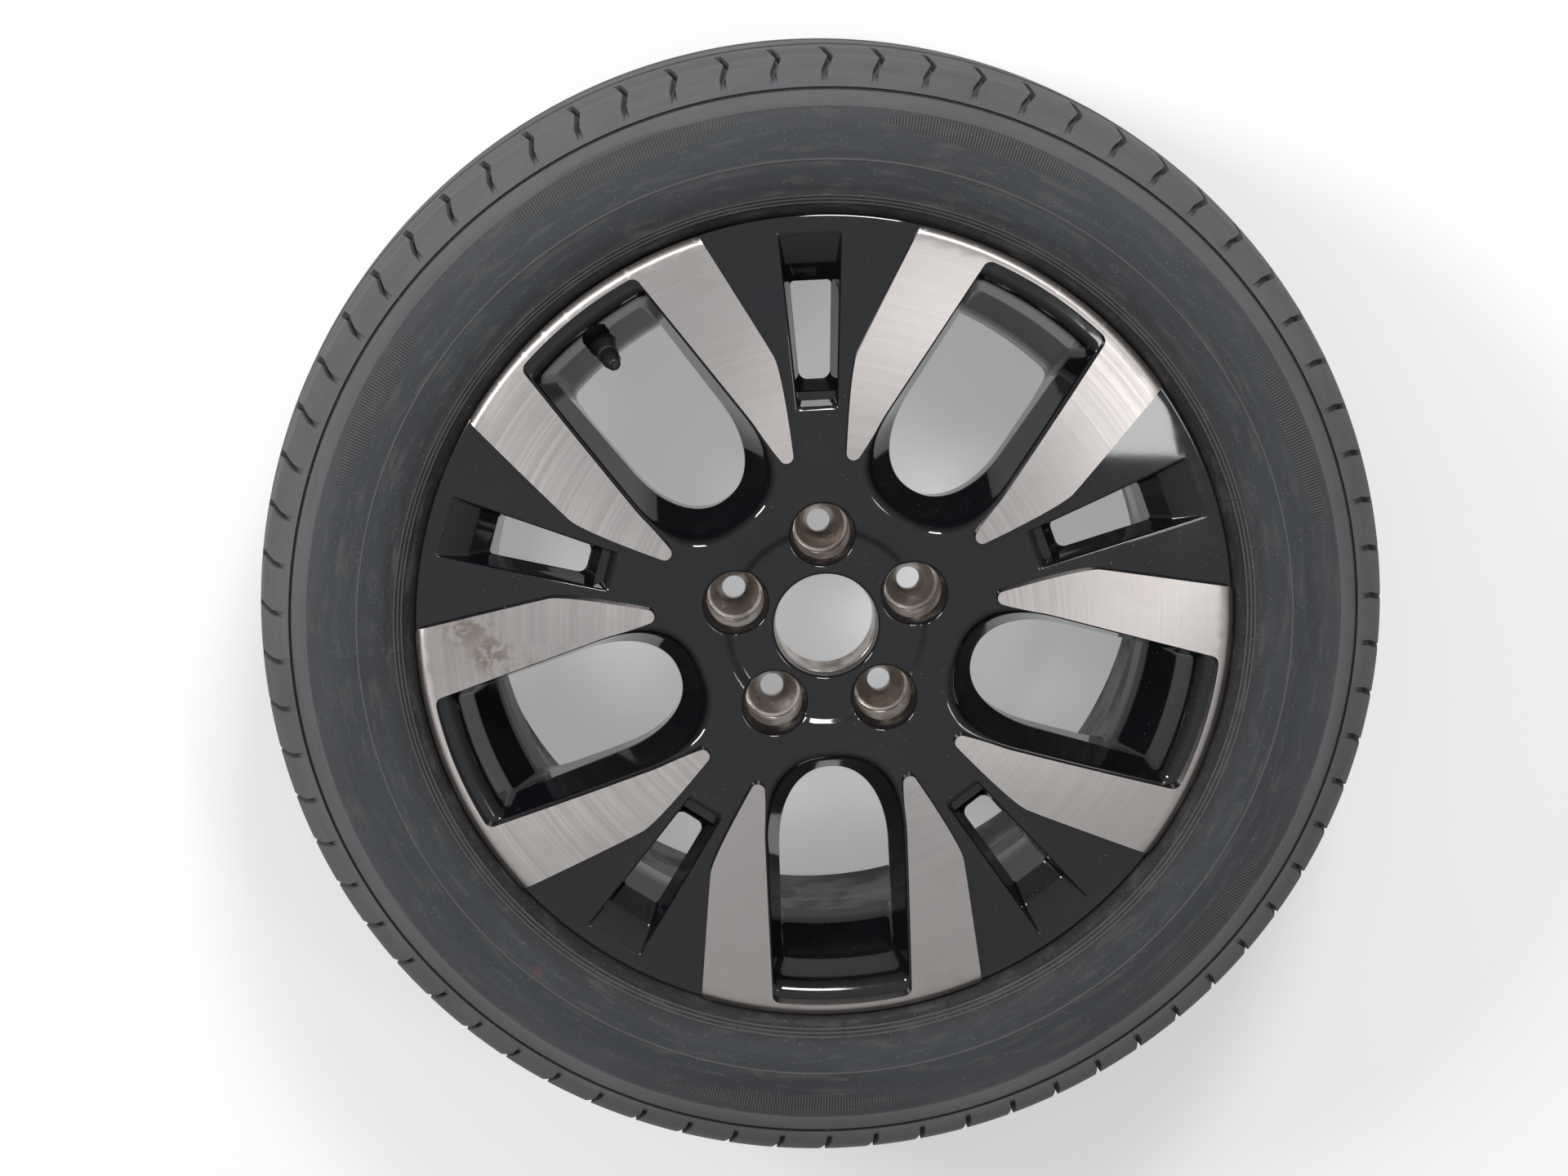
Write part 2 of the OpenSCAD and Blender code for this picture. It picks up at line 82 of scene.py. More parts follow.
# Tyre and rim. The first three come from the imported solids
TYRE_LOW, TYRE_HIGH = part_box("tyre")
TYRE_R = round(TYRE_HIGH.x / MM, 1)
MID_Z = round((TYRE_LOW.z + TYRE_HIGH.z) / 2 / MM, 1)
FLANGE_R = round(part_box("alloy_wheel")[1].x / MM, 1)
RIM_WIDTH = 165.1
SEAT_R = 218.3
SEAT_TAPER = math.tan(math.radians(5))
WELL_R = 199.4
FRONT_Z = MID_Z + RIM_WIDTH / 2
REAR_Z = MID_Z - RIM_WIDTH / 2

# Machined face: its crown, its rise at the rim and its step over the paint
EDGE_Z = FRONT_Z + 10.2
WINDOW_R = 229.4
CROWN_R, CROWN_H = 75, 9.7
RIM_RISE = 3.2
STEP_H = 4.7

# Painted hub: where the spokes start to slope, the dish, bolt pockets and cap bore
SPOKE_R = 96
HUB_Z = FRONT_Z + 8.5
DISH_R, DISH_W, DISH_RISE = 53, 7, 3.2
LUG_R = 54
CAP_R = 30

# Rear of the disc: the flat hub face, its chamfer, the arch behind the spokes and the barrel's bore
HUB_FACE_R, CHAMFER = 73, 1
HUB_FOOT_R, HUB_FOOT_Z = 80, 5.5
BORE_R, BORE_Z = 194.4, -20
ARCH_END = ((185, -5), (191.4, -13))
BACK = np.array([(0, 0), (HUB_FACE_R, 0), (HUB_FACE_R + CHAMFER, CHAMFER), (HUB_FOOT_R, HUB_FOOT_Z),
                 (100, 8), (125, 8), (150, 6), (172, 1.5), *ARCH_END, (BORE_R, BORE_Z)])


def lerp(a, b, t):
    return a + (b - a) * t


def smooth(t):
    """Smoothstep of t held between 0 and 1."""
    t = np.clip(t, 0, 1)
    return t * t * (3 - 2 * t)


def face_z(r):
    """Machined face: flat to the crown radius, then a parabola that rolls into the rim's edge."""
    k = (CROWN_H - RIM_RISE) / (WINDOW_R - CROWN_R) ** 2
    crown = EDGE_Z + CROWN_H - k * np.maximum(r - CROWN_R, 0) ** 2
    edge = EDGE_Z + RIM_RISE * (1 - ((r - WINDOW_R) / (FLANGE_R - WINDOW_R)) ** 2)
    return np.where(r > WINDOW_R, edge, crown)


def paint_z(r):
    """Painted face, one step under the machined one, easing down to the hub's dish."""
    lip = DISH_R + DISH_W
    slope = lerp(HUB_Z + DISH_RISE, face_z(SPOKE_R) - STEP_H, (r - lip) / (SPOKE_R - lip))
    dish = HUB_Z + DISH_RISE * (1 - np.cos(np.pi * np.clip((r - DISH_R) / DISH_W, 0, 1))) / 2
    outer = face_z(np.minimum(r, WINDOW_R)) - STEP_H
    return np.where(r > SPOKE_R, outer, np.where(r > lip, slope, dish))


def back_z(r):
    """Rear of the spoke disc: hub face, then a shallow arch that drops into the barrel."""
    return np.interp(r, BACK[:, 0], BACK[:, 1])


def flat(z):
    """Surface of one height, as a function of the radius."""
    return lambda r: np.full(len(r), float(z))


def resample(points, count):
    """The same line through count points at even steps of its length."""
    s = np.concatenate([[0], np.cumsum(np.linalg.norm(np.diff(points, axis=0), axis=1))])
    t = np.linspace(0, s[-1], count)
    return np.column_stack([np.interp(t, s, column) for column in points.T])


def arc(centre, radius, start, end, count):
    """Points on a circle, from start to end in degrees."""
    a = np.radians(np.linspace(start, end, count))
    return np.column_stack([centre[0] + radius * np.cos(a), centre[1] + radius * np.sin(a)])


def bezier(a, b, c, count):
    """Quadratic curve from a to c, drawn towards b."""
    t = np.linspace(0, 1, count)[:, None]
    return (1 - t) ** 2 * np.array(a) + 2 * t * (1 - t) * np.array(b) + t * t * np.array(c)


def chain(*parts):
    """Lines end to end, each shared end kept once."""
    out = [np.asarray(parts[0], float)]
    for part in parts[1:]:
        part = np.asarray(part, float)
        out.append(part[1:] if np.allclose(out[-1][-1], part[0], atol=1e-6) else part)
    return np.vstack(out)


def both_sides(right):
    """Closed loop from its right half, which starts and ends on the centre line."""
    left = right[::-1] * [-1, 1]
    return np.vstack([right, left[1:-1]])


def normals_2d(loop):
    """Unit normals of a closed loop, pointing to the right of its direction."""
    d = np.roll(loop, -1, axis=0) - np.roll(loop, 1, axis=0)
    n = np.column_stack([d[:, 1], -d[:, 0]])
    return n / np.maximum(np.linalg.norm(n, axis=1, keepdims=True), 1e-9)


def turned(points, angle):
    """Points turned about the axle."""
    c, s = math.cos(angle), math.sin(angle)
    out = np.array(points, float)
    out[..., 0] = c * points[..., 0] - s * points[..., 1]
    out[..., 1] = s * points[..., 0] + c * points[..., 1]
    return out


def window_turn(i):
    """Turn that takes a shape drawn on the Y axis to window i."""
    return WINDOW_ANGLE - math.pi / 2 + i * PITCH


def spoke_turn(i):
    """Turn that takes a shape drawn on the Y axis to the middle of spoke i."""
    return SLOT_ANGLE - math.pi / 2 + i * PITCH


def raised(loop, z):
    """Flat loop with its heights."""
    return np.column_stack([loop, np.broadcast_to(z, len(loop))])


def on_paint(loop):
    """Loop laid on the painted face."""
    return raised(loop[:, :2], paint_z(np.hypot(loop[:, 0], loop[:, 1])))


def distinct(corners):
    """Faces whose first three corners are three different points."""
    a, b, c = corners[:, :3].T
    return (a != b) & (b != c) & (a != c)


def merged(points, faces, cell=0.004):
    """Points in the same cell of a fine grid made one. The grid is set off a little, so that round sizes
    don't lie on its lines. A face of four that loses a corner becomes a triangle, marked by -1 in its last
    place. Returns the points, the faces left and which of the faces they were."""
    keys = np.floor(points / cell + 0.137).astype(np.int64)
    _, first, back = np.unique(keys, axis=0, return_index=True, return_inverse=True)
    corners = np.where(faces >= 0, back.reshape(-1)[faces], -1)
    last = corners[:, 3]
    last[(last == corners[:, 0]) | (last == corners[:, 2])] = -1
    slide = (last >= 0) & ~distinct(corners)
    for column in range(3):
        twin = slide & (corners[:, column] == corners[:, (column + 1) % 4])
        rest = [c for c in range(4) if c != column]
        corners[twin] = np.column_stack([corners[twin][:, rest], np.full(twin.sum(), -1)])
    keep = distinct(corners)
    return points[first], corners[keep], keep


# Twice the area, in square millimetres, under which a sheet's triangle is dropped
SLIVER = 2e-4


class Shell:
    """Gathers grids and flat sheets into one mesh, with a material index for each face."""

    def __init__(self):
        self.points, self.faces, self.slots, self.count = [], [], [], 0

    def grid(self, rows, closed=True, slot=0, flip=False):
        """Surface through rows of points, rows[i][j], closed across j where asked."""
        rows = np.asarray(rows, float)
        m, n = rows.shape[:2]
        index = np.arange(m * n).reshape(m, n) + self.count
        wrap = np.roll(index, -1, axis=1)
        a, b, c, d = index[:-1], wrap[:-1], wrap[1:], index[1:]
        quads = np.stack([a, b, c, d], axis=-1)
        if not closed:
            quads = quads[:, :-1]
        quads = quads.reshape(-1, 4)
        if flip:
            quads = quads[:, ::-1]
        self.points.append(rows.reshape(-1, 3))
        self.faces.append(quads)
        self.slots.append(np.full(len(quads), slot))
        self.count += m * n

    def sheet(self, outline, holes, height, slot=0, flip=False, spacing=7.0, extra=None):
        """Surface z = height(r) inside a rim with holes, as a Delaunay triangulation. The loops keep their
        own heights, and triangles too thin to see are dropped."""
        loops = [np.asarray(loop, float) for loop in [outline, *holes]]
        edges, start = [], 0
        for loop in loops:
            n = len(loop)
            edges += [(start + i, start + (i + 1) % n) for i in range(n)]
            start += n
        loops, rims = [loop[:, :2] for loop in loops], np.concatenate([loop[:, 2] for loop in loops])
        inner = scatter(loops, spacing)
        if extra is not None:
            inner = np.vstack([inner, extra])
        flat_points = np.vstack([*loops, inner])
        verts, _, tris, origin, _, _ = geometry.delaunay_2d_cdt(
            [Vector(p) for p in flat_points.tolist()], edges, [], 0, 1e-5)
        source = np.array([o[0] if o else -1 for o in origin])
        verts = np.where((source >= 0)[:, None], flat_points[source], np.array([tuple(v) for v in verts]))
        tris = np.array([t for t in tris if len(t) == 3])
        mid = verts[tris].mean(axis=1)
        u, v = verts[tris[:, 1]] - verts[tris[:, 0]], verts[tris[:, 2]] - verts[tris[:, 0]]
        keep = inside(loops[0], mid) & (np.abs(u[:, 0] * v[:, 1] - u[:, 1] * v[:, 0]) > SLIVER)
        for hole in loops[1:]:
            keep &= ~inside(hole, mid)
        tris = tris[keep]
        on_rim = (source >= 0) & (source < len(rims))
        z = np.where(on_rim, rims[np.where(on_rim, source, 0)], height(np.hypot(verts[:, 0], verts[:, 1])))
        self.triangles(np.column_stack([verts, z]), tris[:, ::-1] if flip else tris, slot)

    def triangles(self, points, tris, slot=0):
        """Loose triangles, kept as faces of four whose last corner is -1."""
        self.points.append(points)
        self.faces.append(np.column_stack([tris + self.count, np.full(len(tris), -1)]))
        self.slots.append(np.full(len(tris), slot))
        self.count += len(points)

    def object(self, name, materials, sharp=34, uv=None):
        """The mesh in metres, doubles merged, shaded smooth with sharp edges past an angle."""
        points, corners, keep = merged(np.vstack(self.points), np.vstack(self.faces))
        slots = np.concatenate(self.slots)[keep]
        sizes = np.where(corners[:, 3] < 0, 3, 4)
        starts = np.concatenate([[0], np.cumsum(sizes)[:-1]])
        loops = corners[corners >= 0]
        mesh = bpy.data.meshes.new(name)
        mesh.vertices.add(len(points))
        mesh.vertices.foreach_set("co", (points * MM).astype(np.float32).ravel())
        mesh.loops.add(len(loops))
        mesh.loops.foreach_set("vertex_index", loops.astype(np.int32))
        mesh.polygons.add(len(sizes))
        mesh.polygons.foreach_set("loop_start", starts.astype(np.int32))
        mesh.polygons.foreach_set("material_index", slots.astype(np.int32))
        mesh.update(calc_edges=True)
        mesh.validate()
        shape = bmesh.new()
        shape.from_mesh(mesh)
        bmesh.ops.recalc_face_normals(shape, faces=shape.faces)
        shape.to_mesh(mesh)
        shape.free()
        mesh.shade_smooth()
        mesh.set_sharp_from_angle(angle=math.radians(sharp))
        for material in materials:
            mesh.materials.append(material)
        if uv is not None:
            layer = mesh.uv_layers.new(name="lathe")
            vertex = np.zeros(len(mesh.loops), np.int32)
            mesh.loops.foreach_get("vertex_index", vertex)
            co = np.zeros(len(mesh.vertices) * 3, np.float32)
            mesh.vertices.foreach_get("co", co)
            layer.data.foreach_set("uv", uv(co.reshape(-1, 3)[vertex]).astype(np.float32).ravel())
        piece = bpy.data.objects.new(name, mesh)
        bpy.context.scene.collection.objects.link(piece)
        return piece


def inside(loop, points):
    """Even-odd test of points against a closed loop."""
    a, b = loop, np.roll(loop, -1, axis=0)
    x, y = points[:, 0][:, None], points[:, 1][:, None]
    crosses = (a[:, 1] > y) != (b[:, 1] > y)
    rise = np.where(np.abs(b[:, 1] - a[:, 1]) < 1e-12, 1e-12, b[:, 1] - a[:, 1])
    at = a[:, 0] + (y - a[:, 1]) * (b[:, 0] - a[:, 0]) / rise
    return (crosses & (x < at)).sum(axis=1) % 2 == 1


def scatter(loops, spacing):
    """Staggered grid of points inside the first loop and outside the rest, clear of every edge."""
    low, high = loops[0].min(axis=0), loops[0].max(axis=0)
    x = np.arange(low[0], high[0], spacing)
    y = np.arange(low[1], high[1], spacing * 0.87)
    grid = np.stack(np.meshgrid(x, y, indexing="ij"), axis=-1)
    grid[:, 1::2, 0] += spacing / 2
    grid = grid.reshape(-1, 2)
    keep = inside(loops[0], grid)
    for hole in loops[1:]:
        keep &= ~inside(hole, grid)
    grid = grid[keep]
    edge = np.vstack(loops)
    near = np.full(len(grid), 1e9)
    for part in np.array_split(edge, max(1, len(edge) // 200)):
        near = np.minimum(near, np.linalg.norm(grid[:, None] - part[None], axis=2).min(axis=1))
    return grid[near > spacing * 0.42]


# Window: outline at a level t, where 0 is the waist and 1 the front edge, then its two outlines at the
# rear. The widths are half widths, n is the superellipse's power, and every half outline has the same
# numbers of points round the hub end, along the side, round the corner and along the rim
WAIST = dict(r=210.0, hw_out=33.7, hw_in=32.3, mid=140.0, end=90.5, n=2.2, corner=5.0)
EDGE = dict(r=229.4, hw_out=42.3, hw_in=41.3, mid=130.0, end=74.5, n=2.65, corner=5.0)
DEEP = dict(WAIST, r=BORE_R, hw_out=34.7, hw_in=33.3, end=88.0)
OUT = dict(WAIST, r=BORE_R - 6, hw_out=34.7, hw_in=34.3, end=84.0)
WAIST_Z, DEEP_Z, OUT_Z = FRONT_Z - 15, -1.5, -26.0
HUB_N, SIDE_N, CORNER_N, ARC_N = 40, 26, 9, 12


def window_ring(p):
    """Closed outline: superellipse at the hub end, straight sides, rounded corners, rim arc."""
    a = np.radians(np.linspace(0, 90, 400))
    e = 2 / p["n"]
    hub = np.column_stack([p["hw_in"] * np.sin(a) ** e, p["mid"] - (p["mid"] - p["end"]) * np.cos(a) ** e])
    reach = p["r"] - p["corner"]
    turn = math.asin((p["hw_out"] - p["corner"]) / reach)
    start = 90 - math.degrees(turn)
    corner = arc((reach * math.sin(turn), reach * math.cos(turn)), p["corner"], 0, start, CORNER_N)
    rim = arc((0, 0), p["r"], start, 90, ARC_N)
    side = np.linspace(hub[-1], corner[0], SIDE_N)
    return both_sides(chain(resample(hub, HUB_N), side, corner, rim))


# The rim wall of a window bends out past the bead seat: its radius at the bend, the levels of the bend
# and of the edge, and how softly it bends
BEND_R = SEAT_R - 1.5
BEND_T, EDGE_T = 0.597, 0.853
BEND_SOFT = 1.6


def window_at(t):
    """Window outline at a level. Its rim radius is the soft maximum of a steep line and a flatter one."""
    p = {k: lerp(WAIST[k], EDGE[k], t) for k in WAIST}
    steep = lerp(WAIST["r"], BEND_R, t / BEND_T)
    slope = lerp(BEND_R, WINDOW_R, (t - BEND_T) / (EDGE_T - BEND_T))
    p["r"] = BEND_SOFT * np.logaddexp(steep / BEND_SOFT, slope / BEND_SOFT)
    return window_ring(p)


# Outlines of the window's wall at even levels, from the waist to a little over the front edge. Level 1 is
# as high as the machined face is at LEVEL_R
WALL_TOP, WALL_STEP = 1.25, 0.05
LEVEL_R = 130
WALL_T = np.linspace(0, WALL_TOP, round(WALL_TOP / WALL_STEP) + 1)
WALL = np.stack([window_at(t) for t in WALL_T])
WALL_RISE = float(face_z(LEVEL_R)) - WAIST_Z


def wall_points(t):
    """Points of the window's wall, one for each place round it, at levels t."""
    t = np.clip(t, 0, WALL_TOP)
    i = np.clip((t / WALL_STEP).astype(int), 0, len(WALL_T) - 2)
    f = ((t - WALL_T[i]) / WALL_STEP)[:, None]
    k = np.arange(WALL.shape[1])
    return raised(WALL[i, k] * (1 - f) + WALL[i + 1, k] * f, WAIST_Z + t * WALL_RISE)


def wall_meets(height):
    """Levels at which the wall reaches a surface z = height(r), closing in on them in six rounds."""
    t = np.full(WALL.shape[1], 0.9)
    for _ in range(6):
        p = wall_points(t)
        t = (height(np.hypot(p[:, 0], p[:, 1])) - WAIST_Z) / WALL_RISE
    return t


def meets_back(wall, count):
    """Heights at which a wall, points = wall(z), reaches the disc's rear, going half the way each round."""
    z = np.full(count, 5.0)
    for _ in range(60):
        p = wall(z)
        z = lerp(z, back_z(np.hypot(p[:, 0], p[:, 1])), 0.5)
    return z


def blend_rows(corner, a, b, count):
    """Rows of a rounded edge: quadratic curves from rows a to rows b, drawn towards the corner."""
    return [(1 - t) ** 2 * a + 2 * t * (1 - t) * corner + t * t * b for t in np.linspace(0, 1, count)]


def window_rows():
    """Rows of one window from the painted face down: rounded edge, draft, waist, rear draft. The edge is
    rounder at the hub end."""
    t_edge = wall_meets(paint_z)
    edge = wall_points(t_edge)
    n = normals_2d(edge[:, :2])
    radius = 1.2 + 3.4 * smooth((118 - edge[:, 1]) / 30)
    top = on_paint(edge[:, :2] + n * radius[:, None])
    lead = on_paint(top[:, :2] + n * 0.4)
    t_low = t_edge - radius * 1.5 / WALL_RISE
    rows = [lead, *blend_rows(edge, top, wall_points(t_low), 7)]
    rows += [wall_points(t_low * s) for s in np.linspace(0.92, 0.05, 12)]
    waist = wall_points(np.zeros(len(edge)))
    deep, out = raised(window_ring(DEEP), DEEP_Z), raised(window_ring(OUT), OUT_Z)

    def at(z):
        front = lerp(waist, deep, ((waist[:, 2] - z) / (WAIST_Z - DEEP_Z))[:, None])
        rear = lerp(deep, out, ((DEEP_Z - z) / (DEEP_Z - OUT_Z))[:, None])
        return np.where((z > DEEP_Z)[:, None], front, rear)

    foot = meets_back(at, len(edge))
    rows += [at(np.maximum(foot, z)) for z in (WAIST_Z, 22.3, 19.5, 14.0, 8.5, 3.5, DEEP_Z, -6.0)]
    rows.append(at(foot))
    return np.stack(rows)


# Machined plate round one window: where it leaves the window's side, the tip of its blades, and half the
# turn of its rim arc in degrees
BLADE_START_Y = 116
TIP, TIP_R = (44.2, 93.3), 4.0
PLATE_TURN = 20.75


def blade_outline():
    """Right half of the machined plate's outline, from the rim arc's middle round to it again: along the
    window, round the blade's tip, back along the slot's side and out to the rim's edge."""
    edge = wall_points(wall_meets(face_z))[:, :2]
    half = slice(len(edge) // 2 + 1)
    inner = (edge + normals_2d(edge) * 0.25)[half][edge[half][:, 1] > BLADE_START_Y][::-1]
    nose = arc(TIP, TIP_R, 181, 331, 16)
    run_in = bezier(inner[-1], (40.0, 103.5), nose[0], 14)
    low = bezier(nose[-1], (71.2, 130.5), (73.9, 141.5), 26)
    turn = math.radians(PLATE_TURN)
    corner = FLANGE_R * np.array([math.sin(turn), math.cos(turn)])
    high = bezier(low[-1], (75.5, 152), corner - [0.62, 1.5], 30)
    rim = arc((0, 0), FLANGE_R - 0.25, 90 - PLATE_TURN, 90, 40)
    return chain(inner, run_in, nose, low, high, rim[1:])


def blade_plate(shell, angle):
    """Machined plate of one window: crisp top edges, flared sides that sink into the casting."""
    loop = both_sides(blade_outline())[::-1]
    n = normals_2d(loop)
    r = np.hypot(loop[:, 0], loop[:, 1])
    on_rim = r > FLANGE_R - 0.6
    flare = np.where(on_rim, 0.0, 0.3)
    sunk = STEP_H + 2.6
    rows = []
    for out, depth in ((0, 0), (0.13, 0.1), (0.13, 1.5), (0.13, STEP_H), (0.13, sunk)):
        side = loop + n * (np.where(on_rim, out * 0.3, out) + flare * depth)[:, None]
        rows.append(raised(side, face_z(r) - np.where(on_rim, min(depth, 3.0), depth)))
    rows = turned(np.stack(rows), angle)
    shell.grid(rows, flip=True)
    arcs = np.vstack([arc((0, 0), r, 69.6, 110.4, 41) for r in (230.6, 231.8, 233.0, 234.2)])
    shell.sheet(rows[0], [], face_z, spacing=6.0, extra=turned(arcs, angle))
    shell.sheet(rows[-1], [], lambda r: face_z(r) - sunk, spacing=30.0, flip=True)


# Slot between two blades: heights of its collar's rear rim and of the core pocket's ceiling round it
COLLAR_Z = FRONT_Z - 8
CEILING_Z = FRONT_Z + 4.5


def slot_ring(y_in, hw_in, y_out, hw_out, r_in, r_out):
    """Closed trapezium with rounded corners, anticlockwise from the middle of its inner end."""
    lean = math.degrees(math.atan2(hw_out - hw_in, y_out - y_in))
    low = arc((hw_in - r_in, y_in + r_in), r_in, -90, -lean, 9)
    high = arc((hw_out - r_out, y_out - r_out), r_out, -lean, 90, 9)
    start = np.linspace((0, y_in), low[0], 7)
    side = np.linspace(low[-1], high[0], 22)
    end = np.linspace(high[-1], (0, y_out), 8)
    return both_sides(chain(start, low, side, high, end))


def slot_rows():
    """Rows of one slot from the painted face down to the collar's rear rim."""
    top = slot_ring(126.3, 11.3, 226.2, 17.6, 1.2, 1.4)
    n = normals_2d(top)
    lead, mouth, edge = on_paint(top + n * 1.5), on_paint(top + n * 1.1), on_paint(top)
    soft = raised(slot_ring(128.4, 10.9, 223.4, 17.0, 1.6, 1.6), edge[:, 2] - 1.6)
    rows = [lead, *blend_rows(edge, mouth, soft, 5)]
    rows += [raised(slot_ring(*sizes), z) for *sizes, z in (
        (131.0, 10.5, 209.5, 14.6, 3.0, 2.0, FRONT_Z + 3.2),
        (133.0, 10.2, 207.8, 14.0, 3.4, 2.2, FRONT_Z + 1.6),
        (139.0, 9.3, 199.6, 12.2, 4.6, 2.2, FRONT_Z - 5.6),
        (141.4, 9.0, 197.5, 11.6, 5.0, 2.2, COLLAR_Z + 0.8),
        (141.0, 9.4, 197.9, 12.0, 5.0, 2.2, COLLAR_Z))]
    return np.stack(rows)


def ring(radius, z, count, centre=(0, 0)):
    """Circle of points about a vertical axis."""
    a = np.linspace(0, 2 * math.pi, count, endpoint=False)
    return raised(np.column_stack([centre[0] + radius * np.cos(a), centre[1] + radius * np.sin(a)]), float(z))


def lug_rows():
    """Rows of one bolt pocket: rounded painted mouth, bare wall, floor, cone seat and hole."""
    def circle(radius, z=0.0):
        return ring(radius, z, 64, (0, LUG_R))

    lead, mouth, edge = (on_paint(circle(r)) for r in (20.4, 20.0, 18.9))
    soft = circle(18.3)
    soft[:, 2] = edge[:, 2] - 1.4
    painted = [lead, *blend_rows(edge, mouth, soft, 6), circle(16.9, HUB_Z - 8.5), circle(16.6, HUB_Z - 9.2)]
    bare = [circle(r, z) for r, z in (
        (16.6, HUB_Z - 9.2), (16.5, HUB_Z - 9.6), (16.5, 18.0), (16.1, 17.2), (15.4, 17.0), (14.3, 17.0),
        (14.1, 16.8), (6.9, 4.9), (6.75, 4.5), (6.75, 0.5), (7.2, 0.0))]
    return np.stack(painted), np.stack(bare)


# Points round the rim, and how far inside the flange the painted face ends
RIM_N = 360
PAINT_INSET = 1.9


def clear_rings(radii, holes, step=2.6, gap=1.2):
    """Points on circles about the axle, at least the gap clear of every hole."""
    points = np.vstack([ring(r, 0, int(2 * math.pi * r / step))[:, :2] for r in radii])
    keep = np.ones(len(points), bool)
    for hole in holes:
        near = np.linalg.norm(points[:, None] - hole[None, :, :2], axis=2).min(axis=1)
        keep &= ~inside(hole, points) & (near > gap)
    return points[keep]


def casting_front(shell):
    """Front of the casting: painted sheet with its windows, slots, bolt pockets and cap bore. Returns the
    openings' rims at the back."""
    holes, openings = [], []
    windows, slots = window_rows(), slot_rows()
    painted, bare = lug_rows()
    for i in range(PITCHES):
        w = turned(windows, window_turn(i))
        s, p, b = (turned(rows, spoke_turn(i)) for rows in (slots, painted, bare))
        for rows in (w, s, p):
            shell.grid(rows)
            holes.append(rows[0])
        shell.grid(b, slot=BARE)
        openings.append((w[-1], s[-1], b[-1]))
    bore = [ring(CAP_R + r, HUB_Z + z, 144) for r, z in (
        (2.6, 0), (2.2, 0), (1.5, -0.1), (0.9, -0.45), (0.45, -0.95), (0.2, -1.6), (0, -2.4), (0, -11.4))]
    shell.grid(bore)
    land = [ring(r, z, 144) for r, z in (
        (CAP_R, HUB_Z - 11.4), (CAP_R - 0.3, HUB_Z - 12), (CAP_R - 1.2, HUB_Z - 12), (CAP_R - 1.2, 14.4),
        (CAP_R - 0.8, 14), (32.1, 14), (32.55, 13.6), (32.55, 2), (35.55, 0))]
    shell.grid(land, slot=BARE)
    holes.append(bore[0])
    rim = on_paint(ring(FLANGE_R - PAINT_INSET, 0, RIM_N))
    circles = (DISH_R, 54.6, 56.5, 58.4, DISH_R + DISH_W, CROWN_R, SPOKE_R)
    shell.sheet(rim, holes, paint_z, spacing=6.5, extra=clear_rings(circles, holes))
    return openings, land[-1]


# Core pocket: depth of its lowest outline, outer radii of the collar's foot and of the ceiling, and steps
# across half the collar on the outer wall. The collar's half widths are at its two ends
CORE_Z = -30
COLLAR_R, CEILING_R = 201.3, 198.3
ACROSS_N = 4
COLLAR_NEAR, COLLAR_FAR = 15.4, 18.6
COLLAR_Y = 135.5


def core_ring(z, y_in, hw_in, mid, r_out, hw_out, gap):
    """Closed outline of a core pocket. The rim arc has a point at the collar's side, gap from the middle."""
    near, far, lean = 8, 9, 20
    corner = arc((hw_in - near, y_in + near), near, -90, -lean, 8)
    turn = math.degrees(math.asin((hw_out - far) / (r_out - far)))
    reach = math.sqrt((r_out - far) ** 2 - (hw_out - far) ** 2)
    outer = arc((hw_out - far, reach), far, -lean, 90 - turn, 8)
    meet = 90 - math.degrees(math.asin(gap / r_out))
    rim = arc((0, 0), r_out, 90 - turn, meet, 12)
    middle = arc((0, 0), r_out, meet, 90, ACROSS_N + 1)
    start = np.linspace((0, y_in), corner[0], 5)
    side = np.linspace(corner[-1], mid, 12)
    flare = np.linspace(mid, outer[0], 16)
    return raised(both_sides(chain(start, corner, side, flare, outer, rim, middle)), z)


def collar_side(r_out, z):
    """Right half of the collar round a slot, from the pocket's outer wall to the middle of its inner end."""
    r = 6
    gap = collar_gap(r_out)
    corner = arc((COLLAR_NEAR - r, COLLAR_Y + r), r, 0, -90, 8)
    side = np.linspace((gap, math.sqrt(r_out ** 2 - gap ** 2)), (COLLAR_NEAR, COLLAR_Y + r), 14)
    return raised(chain(side, corner, np.linspace((COLLAR_NEAR - r, COLLAR_Y), (0, COLLAR_Y), 4)), z)


def collar_gap(r_out):
    """Half width of the collar where it runs into the pocket's outer wall."""
    return lerp(COLLAR_NEAR, COLLAR_FAR, (r_out - COLLAR_Y - 6) / 68.8)


